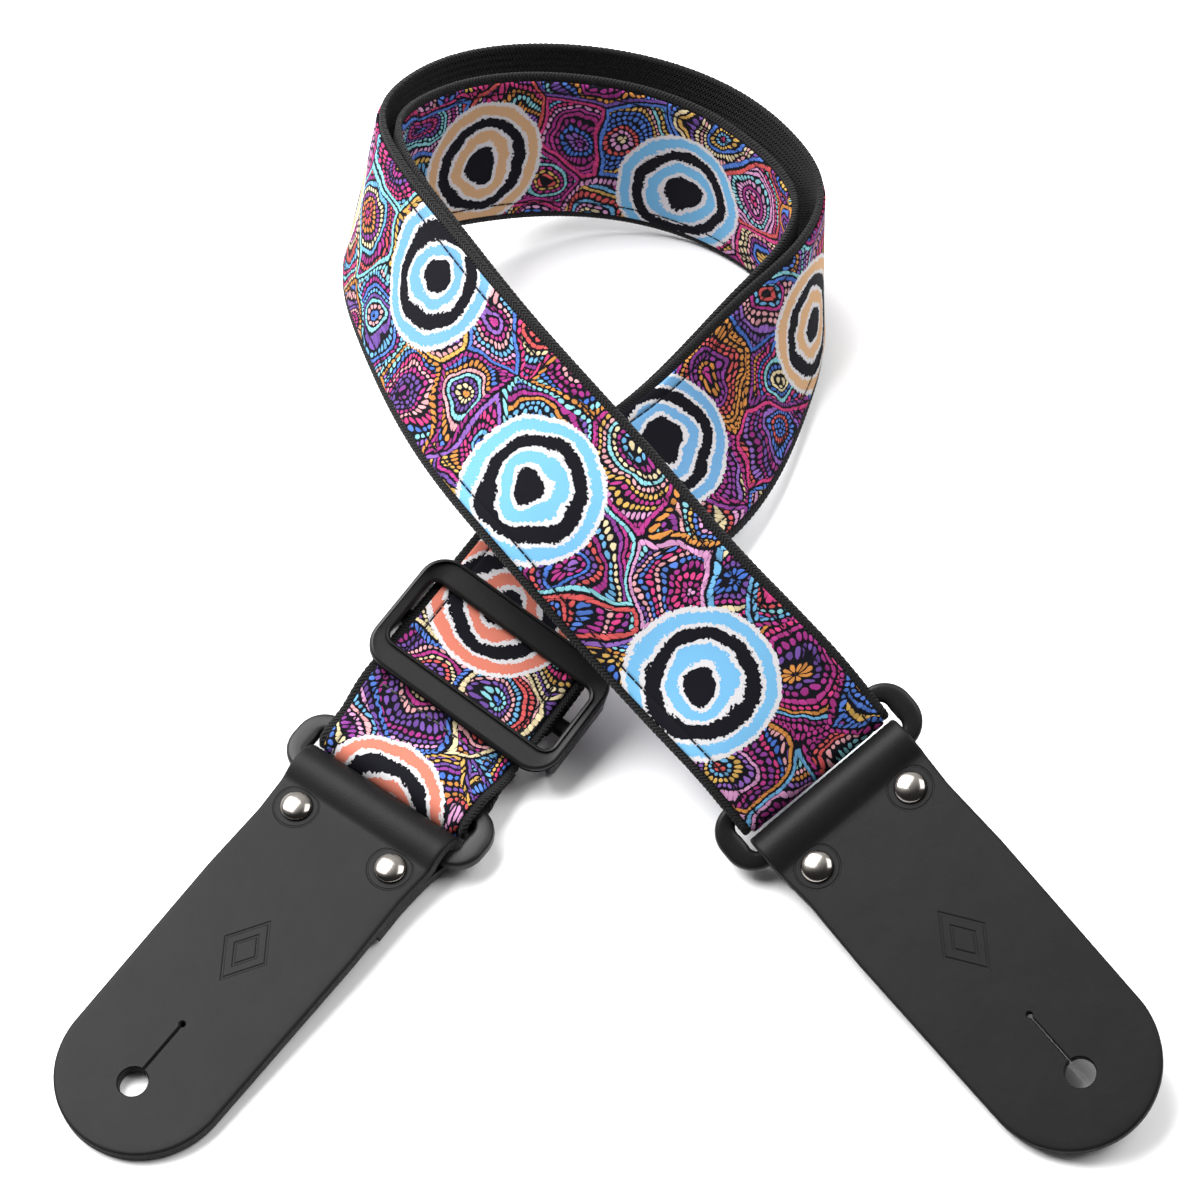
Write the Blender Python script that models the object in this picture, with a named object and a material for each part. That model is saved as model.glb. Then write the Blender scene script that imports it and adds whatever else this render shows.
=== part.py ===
"""A guitar strap at its shortest setting, lying looped on a table.

Two-inch webbing with a sewn-on fabric facing starts at the left ring, runs through the
slider and round the loop to the right ring, folds over that ring's bar and comes back
inside the loop to the slider's middle bar. Each ring carries a folded leather end.
Metres, +Z up, table at z = 0, the leather ends towards -Y.
"""

import math

import bpy
import numpy as np
from mathutils import Vector

MM = 0.001

# Strap section
STRAP_W = 50.0 * MM
WEB_T = 1.6 * MM
FACE_W = 45.0 * MM
FACE_T = 0.8 * MM
LAYER_GAP = 0.1 * MM
JOINT_GAP = 0.15 * MM  # half of the gap between two lengths of one strap
STEP = 4.0 * MM

# The lie of the strap between the right ring and the straight run before the left ring:
# (upper edge, lower edge) in millimetres, before the shift to ORIGIN.
STATIONS = (
    ((42, -30, 56), (5, -52, 30)),
    ((12, 2, 70), (-25, -23, 49)),
    ((-18, 36, 81), (-51, 15, 49)),
    ((-44, 74, 84), (-68, 58, 42)),
    ((-56, 94, 83), (-74, 81, 38)),
    ((-62, 116, 79), (-74, 103, 32)),
    ((-56, 137, 72), (-64, 123, 25)),
    ((-42, 154, 65), (-48, 139, 18)),
    ((0, 167, 55), (-7, 156, 7)),
    ((43, 152, 51), (38, 147, 1)),
    ((58, 134, 51), (55, 132, 1)),
    ((65, 112, 51), (66, 111, 1.5)),
    ((57, 90, 51), (67, 88, 3)),
    ((41, 74, 48), (61, 65, 4)),
    ((8, 43, 37), (41, 20, 9)),
)
ORIGIN = Vector((1.144, -1.138, 0.067)) * MM  # puts the box's bottom centre at the origin

# How far the returning layer lies inside the outer one: (share of the way round, gap)
RETURN_GAPS = (
    (0.0, 7.1 * MM),
    (0.06, 3.6 * MM),
    (0.3, 2.8 * MM),
    (0.38, 3.6 * MM),
    (0.43, 7.0 * MM),
    (0.5, 13.0 * MM),
    (0.6, 13.5 * MM),
    (0.69, 11.0 * MM),
    (0.76, 6.5 * MM),
    (0.82, 3.2 * MM),
    (0.9, 2.8 * MM),
    (1.0, 2.9 * MM),
)
SAG_SHARE = 0.2  # the return drops by this share of the gap beyond SAG_FROM
SAG_FROM = 3.0 * MM

# Rings
RING_LENGTH = 65.0 * MM
RING_BAR = 4.8 * MM
RING_T = 3.8 * MM
BAR_PITCH = 14.5 * MM
RING_CORNER = 6.0 * MM
RING_END_MORE = 0.7  # share of the half section added inside both short ends
FOLD_R = 2.75 * MM  # inside radius of the strap and leather round a ring bar
FOLD_SLACK = 2.7 * MM  # the strap's loop reaches this far past its bar

# Leather ends, measured from the button hole along the end towards its ring
LEATHER_T = 3.6 * MM
TIP = 18.5 * MM
TIP_R = 23.4 * MM
SIDE_HALF = 24.5 * MM
NECK_HALF = 24.1 * MM
NECK_AT = 78.0 * MM
FOLD_HALF = 25.0 * MM
LEATHER_BAR_AT = 96.0 * MM
FLAP_END = 68.0 * MM
BUTTON_R = 3.9 * MM
SLIT_W = 0.7 * MM
SLIT_END = 19.0 * MM
SLIT_END_R = 0.9 * MM
RIVET_AT = 84.0 * MM
RIVET_SIDE = 16.0 * MM
RIVET_R = 4.4 * MM
RIVET_DOME = 2.1 * MM
POST_R = 1.4 * MM
BACK_R = 4.2 * MM
BACK_T = 0.9 * MM

# Where each leather end lies: hole centre on its underside, heading, pitch and roll
LEFT_END = ((-117.3, -150.8, 1.1), 53.9, 3.2, 0.0)
RIGHT_END = ((120.4, -150.8, 8.4), 127.1, 4.0, 20.0)
LEFT_RING_TURN = 1.0  # degrees from the leather to the ring
RIGHT_RING_TURN = 18.0
RIGHT_LEAVE_TURN = 36.0  # degrees from the leather to the strap
LEFT_RUN_PITCH = 9.0
RUN_ROLL = 13.0  # the run's left edge is higher by this angle at the slider
ROLL_FROM = 2.5 * MM  # from the left ring's strap bar
ROLL_TO = 16.0 * MM
STRAIGHT_RUN = 80.0 * MM
LEFT_FLAP = 17.0 * MM
FLAP_DROP = 3.7 * MM  # of the flap's middle under the run's

# Slider
SLIDER_AT = 36.0 * MM  # from the left ring's strap bar
SLIDER_LONG = 62.0 * MM
SLIDER_SHORT = 37.0 * MM
SLIDER_CORNER = 8.0 * MM
WINDOW_LONG = 54.5 * MM
WINDOW_SHORT = 21.5 * MM
WINDOW_CORNER = 3.0 * MM
SLIDER_T = 3.2 * MM
POST_WIDTH = 25.0 * MM  # of the walls that carry the middle bar
SLIDER_ASIDE = 1.7 * MM  # the strap keeps to the left side of the window
SLIDER_LIFT = 2.1 * MM  # underside of the frame above the middle of the webbing
BAR_DROP = 5.4 * MM  # middle of the middle bar below the middle of the webbing
BAR_HALF_T = 1.5 * MM
BAR_HALF_W = 2.5 * MM
SEWN_REACH = 32.0 * MM  # the sewn end belongs to the slider up to here
FREE_REACH = 60.0 * MM  # the return stretches between here and SEWN_REACH
SEWN_FLAP = 20.0 * MM
WRAP_R = 2.6 * MM
STITCH_T = 0.25 * MM


def clear_scene():
    for obj in list(bpy.data.objects):
        bpy.data.objects.remove(obj)


def material(name, colour, roughness, metallic=0.0):
    mat = bpy.data.materials.get(name)
    if mat is None:
        mat = bpy.data.materials.new(name)
        mat.use_nodes = True
        shader = mat.node_tree.nodes["Principled BSDF"]
        shader.inputs["Base Color"].default_value = (*colour, 1.0)
        shader.inputs["Roughness"].default_value = roughness
        shader.inputs["Metallic"].default_value = metallic
    return mat


def black_webbing():
    return material("webbing_black", (0.012, 0.012, 0.013), 0.85)


def patterned_facing():
    return material("facing_patterned", (0.16, 0.06, 0.17), 0.8)


def black_leather():
    return material("leather_black", (0.03, 0.029, 0.03), 0.5)


def nickel():
    return material("nickel", (0.72, 0.71, 0.69), 0.18, 1.0)


def black_plastic():
    return material("plastic_black", (0.03, 0.03, 0.032), 0.5)


def black_thread():
    return material("thread_black", (0.02, 0.02, 0.022), 0.7)


def mesh_object(name, points, faces, mat, origin=None):
    """A mesh object from world points, with its origin moved to where it turns."""
    origin = Vector((0, 0, 0)) if origin is None else Vector(origin)
    mesh = bpy.data.meshes.new(name)
    mesh.from_pydata([Vector(p) - origin for p in points], [], faces)
    mesh.materials.append(mat)
    mesh.validate()
    obj = bpy.data.objects.new(name, mesh)
    obj.location = origin
    bpy.context.scene.collection.objects.link(obj)
    return obj


class Frame:
    """A point with three directions: across, along and normal."""

    def __init__(self, point, across, along, normal):
        self.point = Vector(point)
        self.across = Vector(across).normalized()
        self.along = Vector(along).normalized()
        self.normal = Vector(normal).normalized()

    def at(self, x, y, z):
        return self.point + self.across * x + self.along * y + self.normal * z

    def turned(self, degrees, point=None):
        """The frame turned about its across direction, lifting the along direction."""
        c, s = math.cos(math.radians(degrees)), math.sin(math.radians(degrees))
        along = self.along * c + self.normal * s
        normal = self.normal * c - self.along * s
        return Frame(self.point if point is None else point, self.across, along, normal)


def end_frame(place, heading, pitch, roll):
    """Frame of a leather end: along points from its tip to its ring."""
    a, b, g = (math.radians(v) for v in (heading, pitch, roll))
    along = Vector((math.cos(a) * math.cos(b), math.sin(a) * math.cos(b), math.sin(b)))
    level = Vector((math.sin(a), -math.cos(a), 0))
    normal = level.cross(along)
    across = level * math.cos(g) + normal * math.sin(g)
    return Frame(Vector(place) * MM - ORIGIN, across, along, across.cross(along))


def sweep(name, frames, columns, low, high, mat, origin=None):
    """A strip along frames with edges at columns, from low to high along each normal.

    Every layer splits its faces the same way, so that twisted layers stay apart.
    """
    n = len(columns)
    points = [f.at(x, 0, z) for f in frames for z in (low, high) for x in columns]
    loop = [*range(n), *range(2 * n - 1, n - 1, -1)]
    faces = []
    for i in range(len(frames) - 1):
        here, ahead = 2 * n * i, 2 * n * (i + 1)
        for k, a in enumerate(loop):
            b = loop[(k + 1) % len(loop)]
            if a >= n and b >= n:
                faces += [(here + a, here + b, ahead + a), (here + b, ahead + b, ahead + a)]
            else:
                faces += [(here + a, here + b, ahead + b), (here + a, ahead + b, ahead + a)]
    last = 2 * n * (len(frames) - 1)
    faces += [loop[::-1], [last + k for k in loop]]
    f = frames[0]
    if f.across.cross(f.normal).dot(frames[1].point - f.point) < 0:
        faces = [corners[::-1] for corners in faces]
    return mesh_object(name, points, faces, mat, origin)


def web(name, frames, origin=None):
    columns = (-STRAP_W / 2, -FACE_W / 2, FACE_W / 2, STRAP_W / 2)
    return sweep(name, frames, columns, -WEB_T / 2, WEB_T / 2, black_webbing(), origin)


def face(name, frames, origin=None):
    low = WEB_T / 2 + LAYER_GAP
    columns = (-FACE_W / 2, FACE_W / 2)
    return sweep(name, frames, columns, low, low + FACE_T, patterned_facing(), origin)


def prism(name, outline, frame, low, high, mat, origin=None):
    """A plate with a flat outline, given as (across, along) points turning left."""
    n = len(outline)
    points = [frame.at(x, y, z) for z in (low, high) for x, y in outline]
    faces = [tuple(range(n))[::-1], tuple(range(n, 2 * n))]
    faces += [(i, (i + 1) % n, (i + 1) % n + n, i + n) for i in range(n)]
    return mesh_object(name, points, faces, mat, origin)


def arc(cx, cy, radius, start, end, steps):
    """Points on an arc, in degrees, ends included."""
    turns = [math.radians(start + (end - start) * i / steps) for i in range(steps + 1)]
    return [(cx + radius * math.cos(t), cy + radius * math.sin(t)) for t in turns]


def disc(radius, steps=32, cx=0.0, cy=0.0):
    return arc(cx, cy, radius, 0, 360 - 360 / steps, steps - 1)


def rounded_rectangle(length, width, radius, steps=8):
    x, y = length / 2 - radius, width / 2 - radius
    corners = ((x, y, 0), (-x, y, 90), (-x, -y, 180), (x, -y, 270))
    return [p for cx, cy, a in corners for p in arc(cx, cy, radius, a, a + 90, steps)]


def combine(obj, tool, operation):
    """Apply one exact Boolean and remove its tool."""
    step = obj.modifiers.new("cut", "BOOLEAN")
    step.solver = "EXACT"
    step.operation = operation
    step.object = tool
    bpy.context.view_layer.update()
    graph = bpy.context.evaluated_depsgraph_get()
    done = bpy.data.meshes.new_from_object(obj.evaluated_get(graph))
    obj.modifiers.clear()
    obj.data = done
    bpy.data.objects.remove(tool)
    return obj


def natural_spline(knots, values):
    """Natural cubic spline through values, as a function of the knot parameter."""
    knots, values = np.array(knots, float), np.array(values, float)
    n, h = len(knots), np.diff(knots)
    lhs, rhs = np.eye(n), np.zeros_like(values)
    for i in range(1, n - 1):
        lhs[i, i - 1 : i + 2] = h[i - 1], 2 * (h[i - 1] + h[i]), h[i]
        slopes = (values[i + 1] - values[i]) / h[i] - (values[i] - values[i - 1]) / h[i - 1]
        rhs[i] = 6 * slopes
    bend = np.linalg.solve(lhs, rhs)

    def at(s):
        i = int(np.clip(np.searchsorted(knots, s) - 1, 0, n - 2))
        left, right, width = s - knots[i], knots[i + 1] - s, h[i]
        curve = (bend[i] * right**3 + bend[i + 1] * left**3) / (6 * width)
        start = (values[i] / width - bend[i] * width / 6) * right
        end = (values[i + 1] / width - bend[i + 1] * width / 6) * left
        return curve + start + end

    return at


def frames_through(points, acrosses, flip=1.0):
    """Frames along points; flip -1 turns the pattern side over."""
    frames = []
    for i, point in enumerate(points):
        before, after = points[max(i - 1, 0)], points[min(i + 1, len(points) - 1)]
        along = (after - before).normalized()
        across = acrosses[i] - along * acrosses[i].dot(along)
        frames.append(Frame(point, across, along, across.cross(along) * flip))
    return frames


class Layout:
    """The frames of everything, worked out from the two leather ends and STATIONS."""

    def __init__(self):
        self.left = end_frame(*LEFT_END)
        self.right = end_frame(*RIGHT_END)
        self.rings, self.bars = {}, {}
        for side, end, turn in (
            ("left", self.left, LEFT_RING_TURN),
            ("right", self.right, RIGHT_RING_TURN),
        ):
            leather_bar = end.at(0, LEATHER_BAR_AT, 0)
            ring = end.turned(turn, leather_bar)
            self.rings[side] = ring.turned(0, ring.at(0, BAR_PITCH / 2, 0))
            self.bars[side] = (leather_bar, ring.at(0, BAR_PITCH, 0))
        self.fold_mid = FOLD_R + WEB_T / 2
        leave = self.right.turned(RIGHT_LEAVE_TURN, self.bars["right"][1])
        self.leave = leave.turned(0, leave.at(0, 0, self.fold_mid))
        run = self.left.turned(LEFT_RUN_PITCH - LEFT_END[2], self.bars["left"][1])
        self.run = run.turned(0, run.at(0, 0, self.fold_mid))
        self.trace()

    def trace(self):
        """Sample the outer layer at even steps, from the right ring to the straight run."""
        centres = [self.leave.point, self.leave.at(0, 12 * MM, 0)]
        acrosses = [self.leave.across, self.leave.across]
        for upper, lower in STATIONS:
            upper, lower = Vector(upper) * MM - ORIGIN, Vector(lower) * MM - ORIGIN
            centres.append((upper + lower) / 2)
            acrosses.append((upper - lower).normalized())
        for reach in (STRAIGHT_RUN, STRAIGHT_RUN - 12 * MM):
            f = self.run_at(reach)
            centres.append(f.point)
            acrosses.append(f.across)
        steps = [(b - a).length for a, b in zip(centres, centres[1:])]
        knots = np.concatenate([[0], np.cumsum(steps)])
        centre, across = natural_spline(knots, centres), natural_spline(knots, acrosses)
        end = knots[-2]
        fine = np.linspace(0, end, 4000)
        spots = np.array([centre(s) for s in fine])
        lengths = np.concatenate([[0], np.cumsum(np.linalg.norm(np.diff(spots, axis=0), axis=1))])
        self.bend = float(lengths[-1])
        count = round(self.bend / STEP)
        chosen = [np.interp(self.bend * i / count, lengths, fine) for i in range(count + 1)]
        self.points = [Vector(centre(s)) for s in chosen]
        self.acrosses = [Vector(across(s)) for s in chosen]
        self.outer = frames_through(self.points, self.acrosses)
        self.step = self.bend / count
        self.total = self.bend + STRAIGHT_RUN
        self.gaps = natural_spline([g[0] for g in RETURN_GAPS], [g[1] for g in RETURN_GAPS])

    def run_at(self, reach):
        """Frame of the run: level at the left ring's bar and rolled at the slider."""
        share = float(np.clip((reach - ROLL_FROM) / (ROLL_TO - ROLL_FROM), 0, 1))
        roll = math.radians(RUN_ROLL) * share * share * (3 - 2 * share)
        c, s, f = math.cos(roll), math.sin(roll), self.run
        across, normal = f.normal * s - f.across * c, f.normal * c + f.across * s
        return Frame(f.at(0, reach, 0), across, -f.along, normal)

    def outer_at(self, s):
        """Frame of the outer layer at length s from the right ring."""
        if s >= self.bend:
            return self.run_at(self.total - s)
        k = min(int(s / self.step), len(self.outer) - 2)
        t = s / self.step - k
        a, b = self.outer[k], self.outer[k + 1]
        parts = ("point", "across", "along", "normal")
        return Frame(*[getattr(a, part).lerp(getattr(b, part), t) for part in parts])

    def snapped(self, share):
        """The even step nearest to this share of the free lie."""
        return round(share * self.bend / self.step) * self.step

    def lengths(self, start, end):
        """start, end and the even steps between them, shared by every layer."""
        first, last = math.floor(start / self.step) + 1, math.ceil(end / self.step) - 1
        inner = [k * self.step for k in range(first, last + 1)]
        keep = [s for s in inner if start + 0.2 * MM < s < end - 0.2 * MM]
        return [start, *keep, end]

    def span(self, start, end):
        """Outer frames from start to end."""
        return [self.outer_at(s) for s in self.lengths(start, end)]

    def return_point(self, s):
        """A point on the middle of the returning layer, beside the outer layer's s."""
        f = self.outer_at(s)
        share = s / (self.total - SLIDER_AT - SEWN_REACH)
        gap = float(self.gaps(min(max(share, 0.0), 1.0)))
        sag = SAG_SHARE * max(0.0, gap - SAG_FROM) * bump(share)
        return f.point - f.normal * gap - f.across * sag

    def return_at(self, s):
        near, far = max(s - self.step, 0.0), s + self.step
        along = (self.return_point(far) - self.return_point(near)).normalized()
        across = self.outer_at(s).across
        across = across - along * across.dot(along)
        return Frame(self.return_point(s), across, along, along.cross(across))

    def return_span(self, start, end):
        """Frames of the returning layer beside the outer layer's start to end."""
        return [self.return_at(s) for s in self.lengths(start, end)]

    def slider(self):
        """Frame of the slider: along points to the left ring."""
        return self.outer_at(self.total - SLIDER_AT)


def bump(share):
    """1 along the back of the loop and 0 at both legs."""
    return float(np.clip(4 - abs(share - 0.58) / 0.07, 0, 1))


def fold(start, centre, turn, slack=0.0, steps=12):
    """Frames half way round a bar, from start; turn is +1 beyond start's along, or -1."""
    reach = (start.point - centre).length
    shift = start.along * turn * slack
    frames = []
    for i in range(steps + 1):
        a = math.pi * i / steps
        out = start.normal * math.cos(a) + start.along * turn * math.sin(a)
        along = start.along * math.cos(a) - start.normal * turn * math.sin(a)
        frames.append(Frame(centre + shift + out * reach, start.across, along, out))
    if slack:
        first, last = frames[0], frames[-1]
        frames.insert(0, first.turned(0, first.point - shift))
        frames.append(last.turned(0, last.point - shift))
    return frames


def strap_nodes(lay):
    """The webbing in lengths, each its own solid, and the facing on it."""
    bars = lay.bars
    sewn = lay.total - SLIDER_AT - SEWN_REACH
    free = lay.snapped((lay.total - SLIDER_AT - FREE_REACH) / lay.bend)
    shares = (0.0, 0.16, 0.33, 0.42, 0.52, 0.62, 0.72, 0.8, 0.93)
    cuts = [lay.snapped(share) for share in shares]
    outer_names = (
        "front_leg_low",
        "front_leg_high",
        "left_turn",
        "back_left",
        "back_right",
        "right_turn",
        "lower_leg_high",
        "lower_leg_low",
    )
    for name, a, b in zip(outer_names, cuts, cuts[1:]):
        web("web_outer_" + name, lay.span(a + JOINT_GAP, b - JOINT_GAP))
    web("web_outer_run", lay.span(cuts[-1] + JOINT_GAP, lay.total - JOINT_GAP))
    face("facing_outer", lay.span(JOINT_GAP, lay.total - JOINT_GAP))

    right_fold = fold(lay.outer_at(0), bars["right"][1], -1, FOLD_SLACK)
    web("web_fold_right", right_fold, bars["right"][1])
    face("facing_fold_right", right_fold, bars["right"][1])
    left_fold = fold(lay.outer_at(lay.total), bars["left"][1], 1, FOLD_SLACK)
    web("web_fold_left", left_fold, bars["left"][1])
    face("facing_fold_left", left_fold, bars["left"][1])
    flap = left_flap(lay)
    web("web_flap_left", flap)
    face("facing_flap_left", flap)

    return_cuts = cuts[:-1] + [free]
    for name, a, b in zip(outer_names, return_cuts, return_cuts[1:]):
        web("web_return_" + name, lay.return_span(a + JOINT_GAP, b - JOINT_GAP))
    face("facing_return", lay.return_span(JOINT_GAP, free - JOINT_GAP))
    stretch = lay.return_span(free + JOINT_GAP, sewn - JOINT_GAP)
    web("web_return_stretch", stretch)
    face("facing_return_stretch", stretch)


def left_flap(lay):
    """The strap's sewn end under the run, from the left ring's bar back to the slider."""
    points, acrosses = [], []
    level = 1.6 * MM
    spots = lay.lengths(lay.total - LEFT_FLAP, lay.total - level)
    for s in [lay.total - 2 * JOINT_GAP, *spots[::-1]]:
        share = (lay.total - s - level) / (0.6 * LEFT_FLAP)
        ease = 0.5 + 0.5 * math.cos(math.pi * float(np.clip(share, 0, 1)))
        drop = FLAP_DROP + (2 * lay.fold_mid - FLAP_DROP) * ease
        above = lay.outer_at(s)
        points.append(above.point - above.normal * drop)
        acrosses.append(above.across)
    return frames_through(points, acrosses, 1.0)


def sewn_end(lay):
    """The return's end: under the middle bar, round it and back on top, in three lengths."""
    f = lay.slider()
    spots = (
        (SEWN_REACH - JOINT_GAP, -2.9 * MM),
        (26 * MM, -3.7 * MM),
        (SEWN_FLAP, -4.9 * MM),
        (12 * MM, -6.4 * MM),
        (5 * MM, -7.9 * MM),
        (-0.6 * MM, -BAR_DROP - WRAP_R),
    )
    under = [f.point - f.along * x + f.normal * z for x, z in spots]
    low = frames_through(under, [f.across] * len(under), -1.0)
    origin = f.point
    web("web_sewn_under", low, origin)
    face("facing_sewn_under", low, origin)
    centre = f.point + f.along * 1.0 * MM - f.normal * BAR_DROP
    top = Frame(centre + f.normal * WRAP_R, f.across, f.along, f.normal)
    wrap = fold(top, centre, 1)
    web("web_sewn_wrap", wrap, origin)
    face("facing_sewn_wrap", wrap, origin)
    spots = [top.point - f.along * (JOINT_GAP * 2 + SEWN_FLAP * i / 6) for i in range(7)]
    flap = [Frame(spot, f.across, f.along, f.normal) for spot in spots]
    web("web_sewn_flap", flap, origin)
    face("facing_sewn_flap", flap, origin)


def box_outline(length, width, cx=0.0, cy=0.0):
    x, y = length / 2, width / 2
    return [(cx - x, cy - y), (cx + x, cy - y), (cx + x, cy + y), (cx - x, cy + y)]


def slider_node(lay):
    """A stepped slider: the strap passes under both long sides and over the lower middle bar."""
    f = lay.slider()
    f = f.turned(0, f.at(-SLIDER_ASIDE, 0, 0))
    plastic = black_plastic()
    plate = rounded_rectangle(SLIDER_LONG, SLIDER_SHORT, SLIDER_CORNER)
    obj = prism("slider", plate, f, SLIDER_LIFT, SLIDER_LIFT + SLIDER_T, plastic)
    window = rounded_rectangle(WINDOW_LONG, WINDOW_SHORT, WINDOW_CORNER)
    low, high = SLIDER_LIFT - MM, SLIDER_LIFT + SLIDER_T + MM
    combine(obj, prism("cut", window, f, low, high, plastic), "DIFFERENCE")
    bar_low = -BAR_DROP - BAR_HALF_T
    post = (SLIDER_LONG - WINDOW_LONG) / 2
    for side in (-1, 1):
        middle = side * (SLIDER_LONG - post) / 2
        outline = box_outline(post - 0.2 * MM, POST_WIDTH, middle)
        leg = prism("leg", outline, f, bar_low, SLIDER_LIFT + MM, plastic)
        combine(obj, leg, "UNION")
    section = rounded_rectangle(2 * BAR_HALF_W, 2 * BAR_HALF_T, BAR_HALF_T - 0.01 * MM, 5)
    side_on = Frame(f.at(0, 0, -BAR_DROP), f.along, f.normal, f.across)
    reach = (SLIDER_LONG - post) / 2
    bar = prism("bar", section, side_on, -reach, reach, plastic)
    return combine(obj, bar, "UNION")


def ring_node(name, f, origin):
    """A moulded ring: a rounded section, wider at both ends, swept round a rectangle."""
    long_mid = RING_LENGTH - RING_BAR
    path = rounded_rectangle(long_mid, BAR_PITCH, RING_CORNER, 6)
    sides = 10
    points, faces = [], []
    for i, (x, y) in enumerate(path):
        ahead, behind = path[(i + 1) % len(path)], path[i - 1]
        run = Vector((ahead[0] - behind[0], ahead[1] - behind[1])).normalized()
        for k in range(sides):
            a = 2 * math.pi * k / sides
            c, s = math.cos(a), math.sin(a)
            out = math.copysign(abs(c) ** 0.75, c) * RING_BAR / 2
            out *= 1 + RING_END_MORE * run.y**2 if out < 0 else 1
            up = math.copysign(abs(s) ** 0.75, s) * RING_T / 2
            points.append(f.at(x + run.y * out, y - run.x * out, up))
    n = len(path)
    for i in range(n):
        for k in range(sides):
            a, b = i * sides + k, i * sides + (k + 1) % sides
            c, d = (i + 1) % n * sides + (k + 1) % sides, (i + 1) % n * sides + k
            faces.append((a, d, c, b))
    return mesh_object(name, points, faces, black_plastic(), origin)


def leather_outline():
    """Plan of a leather end, turning left, from the fold's right side round the tip."""
    tip_centre = TIP_R - TIP
    beyond = LEATHER_BAR_AT + FOLD_R + LEATHER_T + 3 * MM
    half_side = math.degrees(math.asin((SIDE_HALF - TIP_R) / (NECK_AT - 20 * MM)))
    tip = arc(0, tip_centre, TIP_R, 180 - half_side, 360 + half_side, 36)
    left = [(-FOLD_HALF, beyond), (-FOLD_HALF, 91 * MM)]
    left += [(-NECK_HALF, NECK_AT), (-SIDE_HALF, 58 * MM)]
    right = [(-x, y) for x, y in left[::-1]]
    return left + tip + right


def leather_section():
    """Side view of the folded leather as (along, normal) points, turning left."""
    bar, inner = LEATHER_BAR_AT, FOLD_R
    outer = FOLD_R + LEATHER_T
    slit = 0.15 * MM
    start = -TIP - 5 * MM
    swell, rise, lift = bar - 7 * MM, bar - 4.6 * MM, 0.9 * MM
    top = [(start, LEATHER_T), (swell, LEATHER_T), (rise, LEATHER_T + lift)]
    over = arc(bar, 0, outer, 115, -115, 20)
    under = [(rise, -LEATHER_T - lift), (swell, -LEATHER_T - slit)]
    flap = [(FLAP_END, -LEATHER_T - slit), (FLAP_END, -slit)]
    hole = [(swell + 1.2 * MM, -slit), (bar - 3.6 * MM, -1.1 * MM)]
    hole += arc(bar, 0, inner, -125, 125, 20)
    hole += [(bar - 3.6 * MM, 1.1 * MM), (swell + 1.2 * MM, slit), (FLAP_END, slit)]
    bottom = [(FLAP_END - MM, 0), (start, 0)]
    return top + over + under + flap + hole + bottom


def leather_node(name, f, origin):
    """One folded strip of leather, cut to its plan, with the button hole, slit and rivet holes."""
    mat = black_leather()
    section = leather_section()
    n, reach = len(section), 30 * MM
    points = [f.at(x, y, z) for x in (-reach, reach) for y, z in section]
    faces = [tuple(range(n)), tuple(range(n, 2 * n))[::-1]]
    faces += [(i, i + n, (i + 1) % n + n, (i + 1) % n) for i in range(n)]
    obj = mesh_object(name, points, faces, mat)
    low, high = -12 * MM, 12 * MM
    combine(obj, prism("plan", leather_outline(), f, low, high, mat), "INTERSECT")
    combine(obj, prism("button", disc(BUTTON_R, 40), f, low, high, mat), "DIFFERENCE")
    slit_length = SLIT_END - BUTTON_R + 0.5 * MM
    slit_mid = (SLIT_END + BUTTON_R - 0.5 * MM) / 2
    slit = box_outline(SLIT_W, slit_length, 0, slit_mid)
    combine(obj, prism("slit", slit, f, low, high, mat), "DIFFERENCE")
    end = disc(SLIT_END_R, 16, 0, SLIT_END)
    combine(obj, prism("slit_end", end, f, low, high, mat), "DIFFERENCE")
    for side in (-1, 1):
        hole = disc(POST_R + 0.3 * MM, 20, side * RIVET_SIDE, RIVET_AT)
        combine(obj, prism("post_hole", hole, f, low, high, mat), "DIFFERENCE")
    for vertex in obj.data.vertices:
        vertex.co -= Vector(origin)
    obj.location = origin
    return obj


def lathe(name, profile, f, x, y, mat, origin, steps=22):
    """A turned solid about a normal axis at (x, y); profile is (radius, height), axis to axis."""
    points, faces = [f.at(x, y, profile[0][1])], []
    rings = profile[1:-1]
    for r, z in rings:
        for i in range(steps):
            a = 2 * math.pi * i / steps
            points.append(f.at(x + r * math.cos(a), y + r * math.sin(a), z))
    points.append(f.at(x, y, profile[-1][1]))
    last = len(points) - 1
    for i in range(steps):
        j = (i + 1) % steps
        faces.append((0, 1 + j, 1 + i))
        for k in range(len(rings) - 1):
            a, b = 1 + k * steps, 1 + (k + 1) * steps
            faces.append((a + i, a + j, b + j, b + i))
        top = 1 + (len(rings) - 1) * steps
        faces.append((top + i, top + j, last))
    return mesh_object(name, points, faces, mat, origin)


def rivet_nodes(end_name, f, origin):
    """A domed cap on the leather and a post with a flat back, at each side."""
    cap_low = LEATHER_T + 0.05 * MM
    back = -LEATHER_T - 0.25 * MM
    for side_name, side in (("a", -1), ("b", 1)):
        x, y = side * RIVET_SIDE, RIVET_AT
        dome = [(0, cap_low), (RIVET_R, cap_low), (RIVET_R, cap_low + 0.4 * MM)]
        for i in range(1, 6):
            a = math.radians(90 * i / 6)
            height = cap_low + 0.4 * MM + (RIVET_DOME - 0.4 * MM) * math.sin(a)
            dome.append((RIVET_R * math.cos(a), height))
        dome.append((0, cap_low + RIVET_DOME))
        lathe(f"rivet_cap_{end_name}_{side_name}", dome, f, x, y, nickel(), origin)
        post = [
            (0, back - BACK_T),
            (BACK_R, back - BACK_T),
            (BACK_R, back),
            (POST_R, back),
            (POST_R, LEATHER_T - 0.05 * MM),
            (0, LEATHER_T - 0.05 * MM),
        ]
        lathe(f"rivet_post_{end_name}_{side_name}", post, f, x, y, nickel(), origin)


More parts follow.
